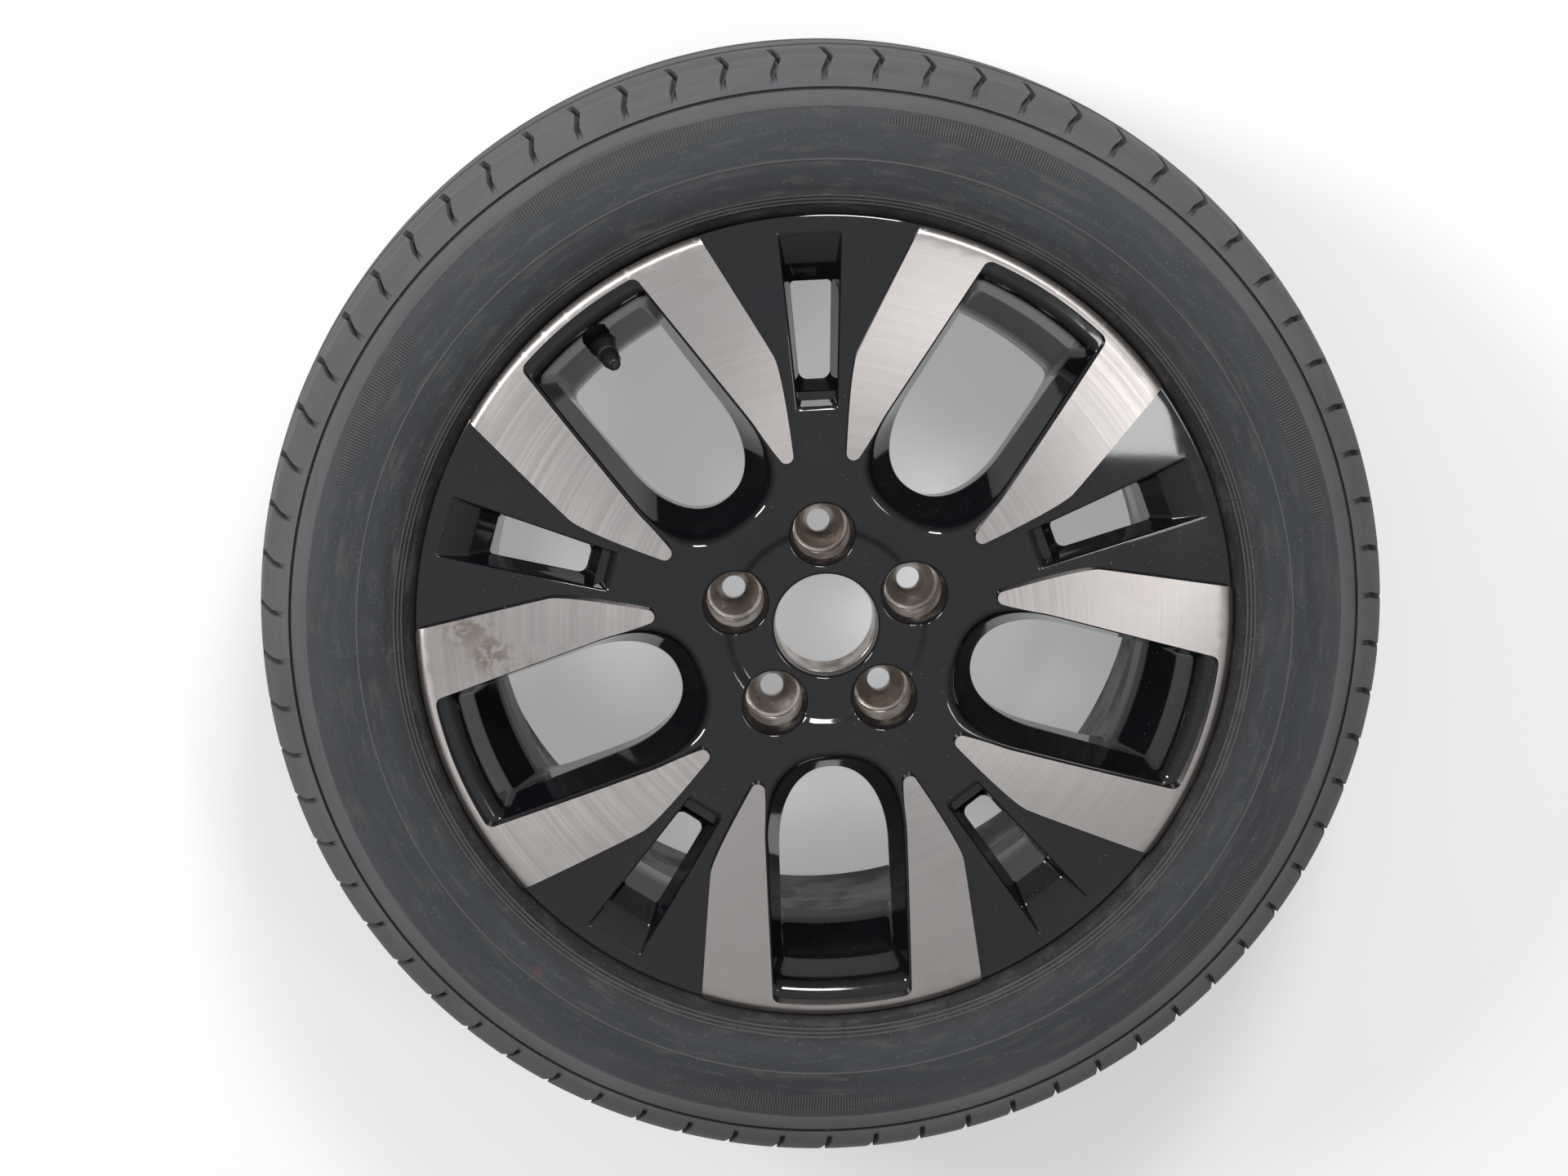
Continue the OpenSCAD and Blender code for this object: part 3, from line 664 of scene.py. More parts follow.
def spoke_back(shell, angle, slot_mouth):
    """Core pocket behind one spoke, with the slot's collar standing in it. Returns its rim on the back."""
    deep = core_ring(CORE_Z, 84, 27, (47, 134), 192.4, 81, collar_gap(COLLAR_R))
    level = core_ring(COLLAR_Z, 87, 23, (42, 134), COLLAR_R, 76, collar_gap(COLLAR_R))
    top = core_ring(CEILING_Z, 90, 20, (39, 134), CEILING_R, 71, collar_gap(CEILING_R))

    def at(z):
        return lerp(deep, level, ((z - CORE_Z) / (COLLAR_Z - CORE_Z))[:, None])

    foot = at(meets_back(at, len(deep)))
    shell.grid(turned(np.stack([lerp(foot, level, t) for t in (0, 0.34, 0.67, 1)]), angle))
    half = len(level) // 2
    outside = np.r_[half + ACROSS_N:len(level), 0:half - ACROSS_N + 1]
    steps = np.stack([lerp(level, top, t)[outside] for t in (0, 0.5, 1)])
    shell.grid(turned(steps, angle), closed=False)
    low, high = collar_side(COLLAR_R, COLLAR_Z), collar_side(CEILING_R, CEILING_Z)
    low, high = (np.vstack([side, side[-2::-1] * [-1, 1, 1]]) for side in (low, high))
    shell.grid(turned(np.stack([low, (low + high) / 2, high]), angle), closed=False)
    bridge = level[half - ACROSS_N:half + ACROSS_N + 1][::-1]
    mouth = turned(np.vstack([low, bridge[1:-1]]), angle)
    shell.sheet(mouth, [slot_mouth], flat(COLLAR_Z), spacing=12, flip=True)
    roof = turned(np.vstack([top[outside], high[1:-1]]), angle)
    shell.sheet(roof, [], flat(CEILING_Z), spacing=12, flip=True)
    return turned(foot, angle)


def hub_pocket(shell, angle):
    """Hollow in the hub face between two bolt bosses. Returns its rim."""
    depth = 14
    loop = np.vstack([arc((0, 0), 68.5, 76, 104, 21), arc((0, 0), 43, 99, 81, 12)])
    rows = turned(np.stack([raised(loop, z) for z in (0, depth - 1.5, depth)]), angle)
    shell.grid(rows)
    shell.sheet(rows[-1], [], flat(depth), spacing=12, flip=True)
    return rows[0]


def casting_back(shell, openings, bore):
    """Rear of the casting: bare hub face, and the painted arch behind the spokes with its pockets."""
    behind, hub = [], [bore]
    for i, (window, slot_mouth, bolt) in enumerate(openings):
        behind += [window, spoke_back(shell, spoke_turn(i), slot_mouth)]
        hub += [bolt, hub_pocket(shell, window_turn(i))]
    edge, foot = ring(HUB_FACE_R, 0, 180), ring(HUB_FOOT_R, HUB_FOOT_Z, 180)
    shell.sheet(edge, hub, flat(0), slot=BARE, flip=True, spacing=9)
    shell.grid([edge, ring(HUB_FACE_R + CHAMFER, CHAMFER, 180), foot], flip=True)
    behind.append(foot)
    circles = clear_rings([r for r, _ in ARCH_END], behind, step=4)
    shell.sheet(ring(BORE_R, BORE_Z, RIM_N), behind, back_z, flip=True, spacing=6.5, extra=circles)


def rim_profile():
    """Section of the rim in two runs. The painted one goes from the front edge round the flanges, bead
    seats and well to the rear flange, and the barrel's from there round the lip and up the bore."""
    def bead(z0, s):
        """One flange, bead seat and hump, from the flange's tip inwards."""
        hump = SEAT_R - 22.5 * SEAT_TAPER
        section = ((FLANGE_R, 6.4), (FLANGE_R - 1.3, 4.6), (FLANGE_R - 4.8, 1.2), (FLANGE_R - 9.5, 0),
                   (SEAT_R + 5, 0), (SEAT_R + 1.6, -1.6), (SEAT_R - 5 * SEAT_TAPER, -5),
                   (SEAT_R - 19.8 * SEAT_TAPER, -19), (hump + 0.9, -21.5), (hump + 0.9, -23.5),
                   (hump - 0.6, -27))
        return [(r, z0 + s * z) for r, z in section]

    edge = [(FLANGE_R - r, EDGE_Z - z) for r, z in (
        (PAINT_INSET, 1.5), (1.5, 1.5), (0.9, 1.6), (0.35, 1.85), (0.05, 2.35))]
    well = [(WELL_R, -8.5), (WELL_R, -45), (WELL_R + 4.2, -56), (WELL_R + 9.6, -67), (WELL_R + 14, -91)]
    rear = bead(REAR_Z, -1)[::-1]
    lip = [(FLANGE_R - 0.5, REAR_Z - 9.6), (FLANGE_R - 2, REAR_Z - 11.2), (FLANGE_R - 5, REAR_Z - 11.6),
           (SEAT_R - 6, REAR_Z - 10.6), (SEAT_R - 9.6, REAR_Z - 8.2), (SEAT_R - 9.8, REAR_Z - 2),
           (SEAT_R - 10.6, -90), (SEAT_R - 14.3, -66), (SEAT_R - 19.5, -52), (BORE_R + 1, -45),
           (BORE_R, -41), (BORE_R, BORE_Z)]
    return edge + bead(FRONT_Z, 1) + well + rear[:-1], rear[-2:] + lip


def casting_rim(shell):
    """Rim as a body of revolution, from the painted front edge to the bore of the barrel."""
    for profile, slot in zip(rim_profile(), (PAINTED, BARREL)):
        shell.grid([ring(r, z, RIM_N) for r, z in profile], slot=slot, flip=True)


# Tyre section, with z counted from its middle plane: widest place, tread's edge, bead, the pressed line
# between side and shoulder, the fall of the tread, its round grooves as (middle, width), and where
# the cross grooves start on the tread and end on the side
SIDE_Z, TREAD_Z = 107.0, 88.0
BEAD_Z = RIM_WIDTH / 2 - 0.4
LINE_R, LINE_Z = TYRE_R - 25, SIDE_Z - 6
SHOULDER_DROP, DROP_POWER = 8.0, 2.4
ROUND_GROOVES = ((17.0, 9.5), (50.0, 8.0))
CROSS_START, CROSS_END = 62.0, LINE_R + 2.4

# Rings moulded on the side, in millimetres from the axle: three thin ones, a line at the widest place and
# a band under the shoulder
THIN_RINGS = (242.9, 244.9, 246.9)
WIDEST_R = 267.2
BAND_R, BAND_W = 300.2, 7.2

# Columns of one cross groove, in parts of its pitch. The ones nearer than FLOOR_AT form its floor. LEAN_R
# is the radius at which a groove's lean, in millimetres, becomes an angle
ACROSS = np.array([-0.062, -0.05, 0.05, 0.062, 0.2, 0.35, 0.5, 0.65, 0.8])
FLOOR_AT = 0.055
LEAN_R = 320
BEAD_LEAN = 3.2

# Rows to each side of the tread's middle over which the columns move on by half a groove pitch
SHIFT_ROWS = 9


def crown_drop(z):
    """How far the tread lies under its middle: its fall times a power of z over the half width."""
    return SHOULDER_DROP * (np.abs(z) / TREAD_Z) ** DROP_POWER


def bump_at(r, middle, width, height, edge=0.4):
    """Raised ring with soft sides: height inside the width, easing to 0 over the edge."""
    return height * smooth((width / 2 - np.abs(r - middle)) / edge + 1)


def side_relief(r):
    """Rings and bands of the sidewall over its plain curve, in millimetres."""
    rings = sum(bump_at(r, middle, 0.6, 0.35, 0.35) for middle in THIN_RINGS)
    widest = -0.45 * smooth((r - 256) / 6) * smooth((286 - r) / 6) + bump_at(r, WIDEST_R, 0.7, 0.4)
    return rings + widest + bump_at(r, BAND_R, BAND_W, 0.5, 1.0)


def side_section(radii, plain=False):
    """Outer side of the tyre at the given radii, and its normals there: quadratic curves from the bead to
    the tread, with a thin line pressed in and, unless it is plain, the moulded rings."""
    flank = np.vstack([
        bezier((FLANGE_R - 9.2, BEAD_Z), (FLANGE_R - 0.6, BEAD_Z + 1.35), (FLANGE_R + 2.8, BEAD_Z + 11), 40),
        bezier((FLANGE_R + 6, BEAD_Z + 14.5), (FLANGE_R + 24, SIDE_Z + 4.5), (FLANGE_R + 44, SIDE_Z), 120),
        bezier((FLANGE_R + 52, SIDE_Z - 1.2), (LINE_R - 8, SIDE_Z - 4), (LINE_R - 0.9, LINE_Z + 0.4), 30),
        bezier((LINE_R + 0.9, LINE_Z), (TYRE_R - 14, TREAD_Z + 11), (TYRE_R - SHOULDER_DROP, TREAD_Z), 60)])
    z = np.interp(radii, flank[:, 0], flank[:, 1])
    slope = np.interp(radii, flank[:, 0], np.gradient(flank[:, 1], flank[:, 0]))
    n = np.column_stack([-slope, np.ones(len(z))]) / np.sqrt(1 + slope ** 2)[:, None]
    lift = (0.0 if plain else side_relief(radii)) - 1.5 * (np.abs(radii - LINE_R) < 0.7)
    return np.column_stack([radii, z]) + n * lift[:, None], n


# Radii of the section's rows on the front side, close together at its rings and on the shoulder, and on
# the plainer rear side
FRONT_RADII = np.array([
    226.4, 229.4, 232, 234.2, 236, 237.2, 238.4, 240.6, 242.2, 242.6, 243.2, 243.6, 244.2, 244.6, 245.2,
    245.6, 246.2, 246.6, 247.2, 247.6, 251, 255, 259, 262, 265, 266.4, 266.85, 267.55, 268, 271, 275,
    279.5, 284, 289, 294, 295.6, 296.6, 300, 303.8, 304.7, 304.85, 306.1, 306.3, 307.9, 309.4, 311.4,
    313.6, 315.6, 317.4, 319, 320.4, 321.6])
REAR_RADII = np.array([
    226.4, 231, 235, 238.4, 243, 249, 256, 264, 272, 280, 288, 296, 303.8, 304.7, 304.85, 306.1, 306.3,
    307.9, 310, 312.5, 315, 317.5, 319.8, 321.5])


def tread_heights():
    """Rows across half the tread, from its edge to the middle: height, and 1 on a groove's floor."""
    rows = [(z, 0) for z in (TREAD_Z, 86.5, 84, 80, 75, 70, 66, 62.4, 61.8, 58)]
    for middle, width in ROUND_GROOVES[::-1]:
        top, low, wall = middle + width / 2, middle - width / 2, 0.8
        rows += [(top, 0), (top - wall, 1), (low + wall, 1), (low, 0), (low - 5, 0)]
    return np.array(rows[:-1] + [(6, 0), (0, 0)])


def half_section(radii, sign, groove_depth, cross_depth):
    """Outer half of the section, from the bead's toe to the tread's middle. Gives its points, their
    normals, how deep each sinks in a cross groove, and how far its column leans in millimetres."""
    toe = np.array([*((SEAT_R - SEAT_TAPER * z + 0.3, BEAD_Z - z) for z in (18, 6)),
                    (SEAT_R + 2.2, BEAD_Z - 1.8), (SEAT_R + 5.4, BEAD_Z)])
    side, n = side_section(radii, plain=sign < 0)
    z, low = tread_heights().T
    crown = np.column_stack([TYRE_R - crown_drop(z) - groove_depth * low, z])
    slope = SHOULDER_DROP * DROP_POWER / TREAD_Z * (z / TREAD_Z) ** (DROP_POWER - 1)
    up = np.column_stack([np.ones(len(z)), slope]) / np.sqrt(1 + slope ** 2)[:, None]
    mirror = np.array([1, sign])
    points = np.vstack([toe, side, crown]) * mirror
    normal = np.vstack([np.zeros(toe.shape), n, up]) * mirror
    sink = cross_depth * np.concatenate([
        np.zeros(len(toe)), smooth((radii - CROSS_END) / 10), z > CROSS_START])
    lean = np.concatenate([np.full(len(toe), BEAD_LEAN),
                           np.interp(radii, [LINE_R, CROSS_END, 316, 322], [BEAD_LEAN, 2.9, 2.4, -0.9]),
                           np.interp(z, [CROSS_START, TREAD_Z], [2.6, -1.3])])
    return points, normal, sink, lean


def tyre_lining():
    """Inside of the tyre, from the rear bead over the dome under the tread to the front bead."""
    z = np.array([0, 20, 40, 62, 80.0])
    dome = np.column_stack([TYRE_R - 16 - crown_drop(z) * 1.1, z])
    shoulder = bezier((TYRE_R - 27, TREAD_Z + 2), (TYRE_R - 34, SIDE_Z - 8), (FLANGE_R + 44, SIDE_Z - 7.5), 4)
    side = bezier((FLANGE_R + 30, SIDE_Z - 7.5), (FLANGE_R + 6, SIDE_Z - 9), (FLANGE_R + 2, BEAD_Z - 3), 4)
    half = np.vstack([dome, shoulder, side, [(SEAT_R + 9, BEAD_Z - 14), (SEAT_R + 3, BEAD_Z - 18.5)]])
    return np.vstack([half[::-1] * [1, -1], half[1:]])


def tyre_rows(groove_depth, cross_depth, cross_grooves):
    """Rows round the closed section. A column follows the cross grooves: it leans on the tread and the side,
    and the rear shoulder is half a groove pitch on from the front one. Points in a groove sink along the
    section's normal."""
    front = half_section(FRONT_RADII, 1, groove_depth, cross_depth)
    rear = half_section(REAR_RADII, -1, groove_depth, cross_depth)
    over = [np.concatenate([a, b[::-1][1:]]) for a, b in zip(front, rear)]
    lining = tyre_lining()
    m, whole, n = len(front[0]), len(over[0]), len(lining)
    section = np.vstack([over[0], lining])
    normal = np.vstack([over[1], np.zeros((n, 2))])
    sink = np.concatenate([over[2], np.zeros(n)])
    lean = np.concatenate([over[3], np.full(n, BEAD_LEAN)])
    half_pitch = np.concatenate([
        np.zeros(m - SHIFT_ROWS), np.linspace(0, 0.5, 2 * SHIFT_ROWS), np.full(whole - m - SHIFT_ROWS, 0.5),
        np.linspace(0.5, 0, n + 2)[1:-1]])
    step = 2 * math.pi / cross_grooves
    grooved = np.tile((np.abs(ACROSS) < FLOOR_AT).astype(float), cross_grooves)
    turn = (np.arange(cross_grooves)[:, None] + ACROSS).ravel() * step
    r, z = np.moveaxis(section[:, None, :] - normal[:, None, :] * (sink[:, None] * grooved)[..., None], -1, 0)
    angle = turn + (lean / LEAN_R + half_pitch * step)[:, None]
    rows = np.stack([r * np.cos(angle), r * np.sin(angle), z + MID_Z], axis=-1)
    return np.concatenate([rows, rows[:1]])


class WheelLooks(bpy.types.PropertyGroup):
    """Sizes and colours that a user would change. The casting keeps the solid's own sizes."""

    groove_depth: bpy.props.FloatProperty(
        name="Groove depth", description="Depth of the grooves round the tread", unit="LENGTH",
        default=0.0065, min=0.001, max=0.009, precision=4)
    cross_depth: bpy.props.FloatProperty(
        name="Cross groove depth", description="Depth of the cross grooves in the shoulders", unit="LENGTH",
        default=0.005, min=0.001, max=0.008, precision=4)
    cross_grooves: bpy.props.IntProperty(
        name="Cross grooves", description="Number of cross grooves in each shoulder",
        default=70, min=24, max=90)
    floor_width: bpy.props.FloatProperty(
        name="Floor width", description="Length of the floor's sides", unit="LENGTH", default=12, min=2)
    paint: bpy.props.FloatVectorProperty(
        name="Paint", description="Colour of the gloss paint", subtype="COLOR", size=3,
        default=(0.006, 0.0065, 0.0085), min=0, max=1)
    silver: bpy.props.FloatVectorProperty(
        name="Machined face", description="Colour of the turned aluminium", subtype="COLOR", size=3,
        default=(0.66, 0.62, 0.60), min=0, max=1)
    rubber: bpy.props.FloatVectorProperty(
        name="Rubber", description="Colour of the tyre", subtype="COLOR", size=3,
        default=(0.036, 0.040, 0.045), min=0, max=1)
    floor: bpy.props.FloatVectorProperty(
        name="Floor", description="Colour of the floor", subtype="COLOR", size=3,
        default=(0.87, 0.875, 0.885), min=0, max=1)


class Nodes:
    """A node tree being put together. Each method adds a node and gives back its output."""

    def __init__(self, made, shader):
        self.made = made
        self.made.use_nodes = True
        self.tree = self.made.node_tree
        self.shader = self.tree.nodes[shader]

    def add(self, kind, inputs=(), **settings):
        made = self.tree.nodes.new(kind)
        for key, value in settings.items():
            setattr(made, key, value)
        for key, value in dict(inputs).items():
            if isinstance(value, bpy.types.NodeSocket):
                self.tree.links.new(value, made.inputs[key])
            else:
                made.inputs[key].default_value = value
        return made

    def place(self):
        return self.add("ShaderNodeTexCoord").outputs["Object"]

    def calc(self, operation, a, b=0.0, c=0.0):
        return self.add("ShaderNodeMath", {0: a, 1: b, 2: c}, operation=operation).outputs[0]

    def times(self, a, b):
        return self.calc("MULTIPLY", a, b)

    def polar(self):
        """Radius in metres, angle in radians and height in metres about the axle."""
        x, y, z = self.add("ShaderNodeSeparateXYZ", {0: self.place()}).outputs
        radius = self.calc("SQRT", self.calc("ADD", self.times(x, x), self.times(y, y)))
        return radius, self.calc("ARCTAN2", y, x), z

    def vector(self, x, y=0.0, z=0.0):
        return self.add("ShaderNodeCombineXYZ", {0: x, 1: y, 2: z}).outputs[0]

    def noise(self, scale, detail=2.0, rough=0.5, at=None, bend=0.0):
        inputs = {"Vector": self.place() if at is None else at, "Scale": scale, "Detail": detail,
                  "Roughness": rough, "Distortion": bend}
        return self.add("ShaderNodeTexNoise", inputs).outputs["Fac"]

    def step(self, value, low, high, start=0.0, end=1.0):
        """Start below low, end above high, and a smooth rise between."""
        inputs = {"Value": value, "From Min": low, "From Max": high, "To Min": start, "To Max": end}
        return self.add("ShaderNodeMapRange", inputs, interpolation_type="SMOOTHSTEP").outputs["Result"]

    def between(self, value, low, high, edge):
        """One between two lengths, easing to nothing over the edge outside them, all in millimetres."""
        rise = self.step(value, (low - edge) * MM, low * MM)
        return self.times(rise, self.step(value, high * MM, (high + edge) * MM, 1.0, 0.0))

    def most(self, values):
        """The largest of several values."""
        top = values[0]
        for value in values[1:]:
            top = self.calc("MAXIMUM", top, value)
        return top

    def spot(self, centre, radius, edge=0.5):
        """One inside a ball, given in millimetres, easing to nothing over part of its radius."""
        away = self.add("ShaderNodeVectorMath", {0: self.place(), 1: tuple(v * MM for v in centre)},
                        operation="DISTANCE").outputs["Value"]
        return self.step(away, radius * MM * (1 - edge), radius * MM, 1.0, 0.0)

    def blend(self, share, a, b):
        """Colour a, passing to b by the share."""
        a, b = ((*v, 1) if isinstance(v, tuple) and len(v) == 3 else v for v in (a, b))
        return self.add("ShaderNodeMix", {"Factor": share, 6: a, 7: b}, data_type="RGBA").outputs[2]

    def layers(self, tone, *pairs):
        """A colour with others laid over it, each given as its share and its colour."""
        for share, colour in pairs:
            tone = self.blend(share, tone, colour)
        return tone

    def set(self, key, value):
        self.tree.links.new(value, self.shader.inputs[key])

    def bump(self, height, distance, strength=1.0, over=None):
        """Normal from a height in parts of the distance, which is in millimetres."""
        inputs = {"Height": height, "Distance": distance * MM, "Strength": strength}
        if over is not None:
            inputs["Normal"] = over
        return self.add("ShaderNodeBump", inputs).outputs["Normal"]


class Finish(Nodes):
    """A node material, with values that are the same all over set on its shader's own sockets."""

    def __init__(self, name, **sockets):
        super().__init__(bpy.data.materials.new(name), "Principled BSDF")
        for key, value in sockets.items():
            self.shader.inputs[key.replace("_", " ").title().replace("Ior", "IOR")].default_value = value


def shade(colour, *shares):
    """A colour with its parts scaled, by one share or by three."""
    return tuple(c * k for c, k in zip(colour, shares if len(shares) > 1 else shares * 3))


def paint_finish(colour):
    """Gloss paint: deep colour, orange peel, dust specks, and brownish noise patches of painted warm
    reflection that are also a little rougher.
    """
    f = Finish("gloss_paint", coat_weight=0.35, coat_roughness=0.04, ior=1.5)
    # Brownish patches laid into the paint's colour: painted warm reflection. The same patches raise the
    # roughness a little.
    painted_reflection = f.step(f.noise(16, 4, 0.6), 0.42, 0.72)
    specks = f.times(f.step(f.noise(800, 1, 0.5), 0.735, 0.78), f.step(f.noise(14, 2), 0.40, 0.62, 0.15, 1.0))
    large = f.times(f.step(f.noise(260, 1, 0.4), 0.79, 0.83), f.step(f.noise(11, 2), 0.50, 0.65))
    dust = f.most([specks, large])
    f.set("Base Color", f.layers(colour, (f.times(painted_reflection, 0.22), (0.022, 0.018, 0.015)),
                                 (f.times(dust, 0.7), (0.16, 0.15, 0.14))))
    f.set("Roughness", f.calc("ADD", f.step(painted_reflection, 0, 1, 0.05, 0.13), f.times(dust, 0.4)))
    f.set("Normal", f.bump(f.noise(340, 2, 0.5), 0.008, 0.3))
    return f.made


def barrel_finish():
    """Thinner paint inside the barrel: brownish and less glossy, with a row of pale rub marks."""
    f = Finish("barrel_paint")
    _, angle, z = f.polar()
    soil = f.step(f.noise(22, 5, 0.65), 0.35, 0.7)
    base = f.blend(soil, (0.016, 0.015, 0.015), (0.052, 0.044, 0.036))
    wobble = f.times(f.calc("SUBTRACT", f.noise(9, 2), 0.5), 0.012)
    band = f.between(f.calc("ADD", z, wobble), -49, MID_Z, 4)
    marks = f.times(band, f.step(f.noise(1, 2, 0.5, f.vector(f.times(angle, 26), f.times(z, 90))), 0.52, 0.6))
    f.set("Base Color", f.blend(f.times(marks, 0.7), base, (0.32, 0.31, 0.30)))
    f.set("Roughness", f.step(soil, 0, 1, 0.32, 0.62))
    f.set("Normal", f.bump(f.noise(300, 4, 0.6), 0.05, 0.5))
    return f.made


# Dried stains and darker dots on the left blades, as (place, radius) in millimetres
STAINS = (((-206, 14, 57), 22), ((-193, -4, 56), 18), ((-176, -18, 57), 16))
DOTS = (((-217.4, 2.3, 55), 2.0), ((-215, 9.3, 55), 1.5), ((-199, 5, 57), 1.2), ((-186, -9, 57), 1.4))


def silver_finish(colour):
    """Diamond-turned aluminium: rings left by the tool, faint radial bands, stains, dots and scratches."""
    f = Finish("turned_aluminium", metallic=1.0, anisotropic=0.75)
    radius, angle, _ = f.polar()
    rings = f.noise(1, 2, 0.6, f.vector(f.times(radius, 2600), f.times(angle, 0.6)))
    broad = f.noise(1, 3, 0.65, f.vector(f.times(radius, 520), f.times(angle, 0.5)))
    cloud = f.step(f.noise(26, 4, 0.6), 0.5, 0.75)
    ragged = f.step(f.noise(95, 5, 0.7, bend=0.6), 0.44, 0.56)
    stain = f.most([f.times(f.spot(centre, size, 0.7), ragged) for centre, size in STAINS]
                   + [f.spot(centre, size, 0.4) for centre, size in DOTS])
    nicks = f.step(f.noise(1, 1, 0.5, f.vector(f.times(radius, 900), f.times(angle, 160))), 0.74, 0.80)
    tone = f.blend(f.step(broad, 0.3, 0.7), shade(colour, 0.9), colour)
    f.set("Base Color", f.layers(tone, (f.times(cloud, 0.4), shade(colour, 0.80, 0.77, 0.74)),
                                 (f.times(stain, 0.6), (0.20, 0.145, 0.10)),
                                 (f.times(nicks, 0.35), (0.16, 0.145, 0.13))))
    rough = f.calc("ADD", f.step(broad, 0.25, 0.75, 0.30, 0.42), f.times(stain, 0.3))
    f.set("Roughness", f.calc("ADD", rough, f.times(nicks, 0.15)))
    f.set("Normal", f.bump(rings, 0.010, 0.5))
    tangent = f.add("ShaderNodeTangent", direction_type="UV_MAP", uv_map="lathe")
    f.set("Tangent", tangent.outputs["Tangent"])
    return f.made


def bare_finish():
    """Bare machined metal of the bores and bolt seats: turning rings, brown oxide and dark grime."""
    f = Finish("bare_aluminium", metallic=1.0)
    radius, _, z = f.polar()
    rings = f.noise(1, 2, 0.6, f.vector(f.times(z, 1500), f.times(radius, 500)))
    grime = f.step(f.noise(55, 5, 0.65), 0.42, 0.66)
    tone = f.blend(f.step(f.noise(18, 3), 0.35, 0.65), (0.70, 0.65, 0.61), (0.52, 0.46, 0.41))
    f.set("Base Color", f.blend(f.times(grime, 0.5), tone, (0.20, 0.165, 0.135)))
    f.set("Roughness", f.step(grime, 0, 1, 0.27, 0.55))
    f.set("Normal", f.bump(rings, 0.03, 0.5))
    return f.made


# Hatched fields of the tyre's side: angle of the middle and half the spread in degrees, then radius of the
# middle and half the height in millimetres
HATCHES = ((112, 15.5, 290.5, 8.5), (150, 11, 287, 7.5), (-97, 16, 288, 7), (70, 13, 290, 7),
           (20, 12, 288, 7), (-42, 13, 288, 7))
HATCH_LINES = 1060
TICKS = 24


def hatched(f, radius, angle):
    """One inside the hatched fields. Each ends where a parabola of the angle meets its height."""
    fields = []
    for middle, spread, centre, tall in HATCHES:
        off = f.calc("WRAP", f.calc("SUBTRACT", angle, math.radians(middle)), math.pi, -math.pi)
        share = f.calc("POWER", f.calc("ABSOLUTE", f.times(off, 1 / math.radians(spread))), 2.0)
        half = f.times(f.calc("SUBTRACT", 1.0, share), tall * MM)
        away = f.calc("ABSOLUTE", f.calc("SUBTRACT", radius, centre * MM))
        fields.append(f.step(f.calc("SUBTRACT", half, away), 0.0, 0.8 * MM))
    return f.most(fields)


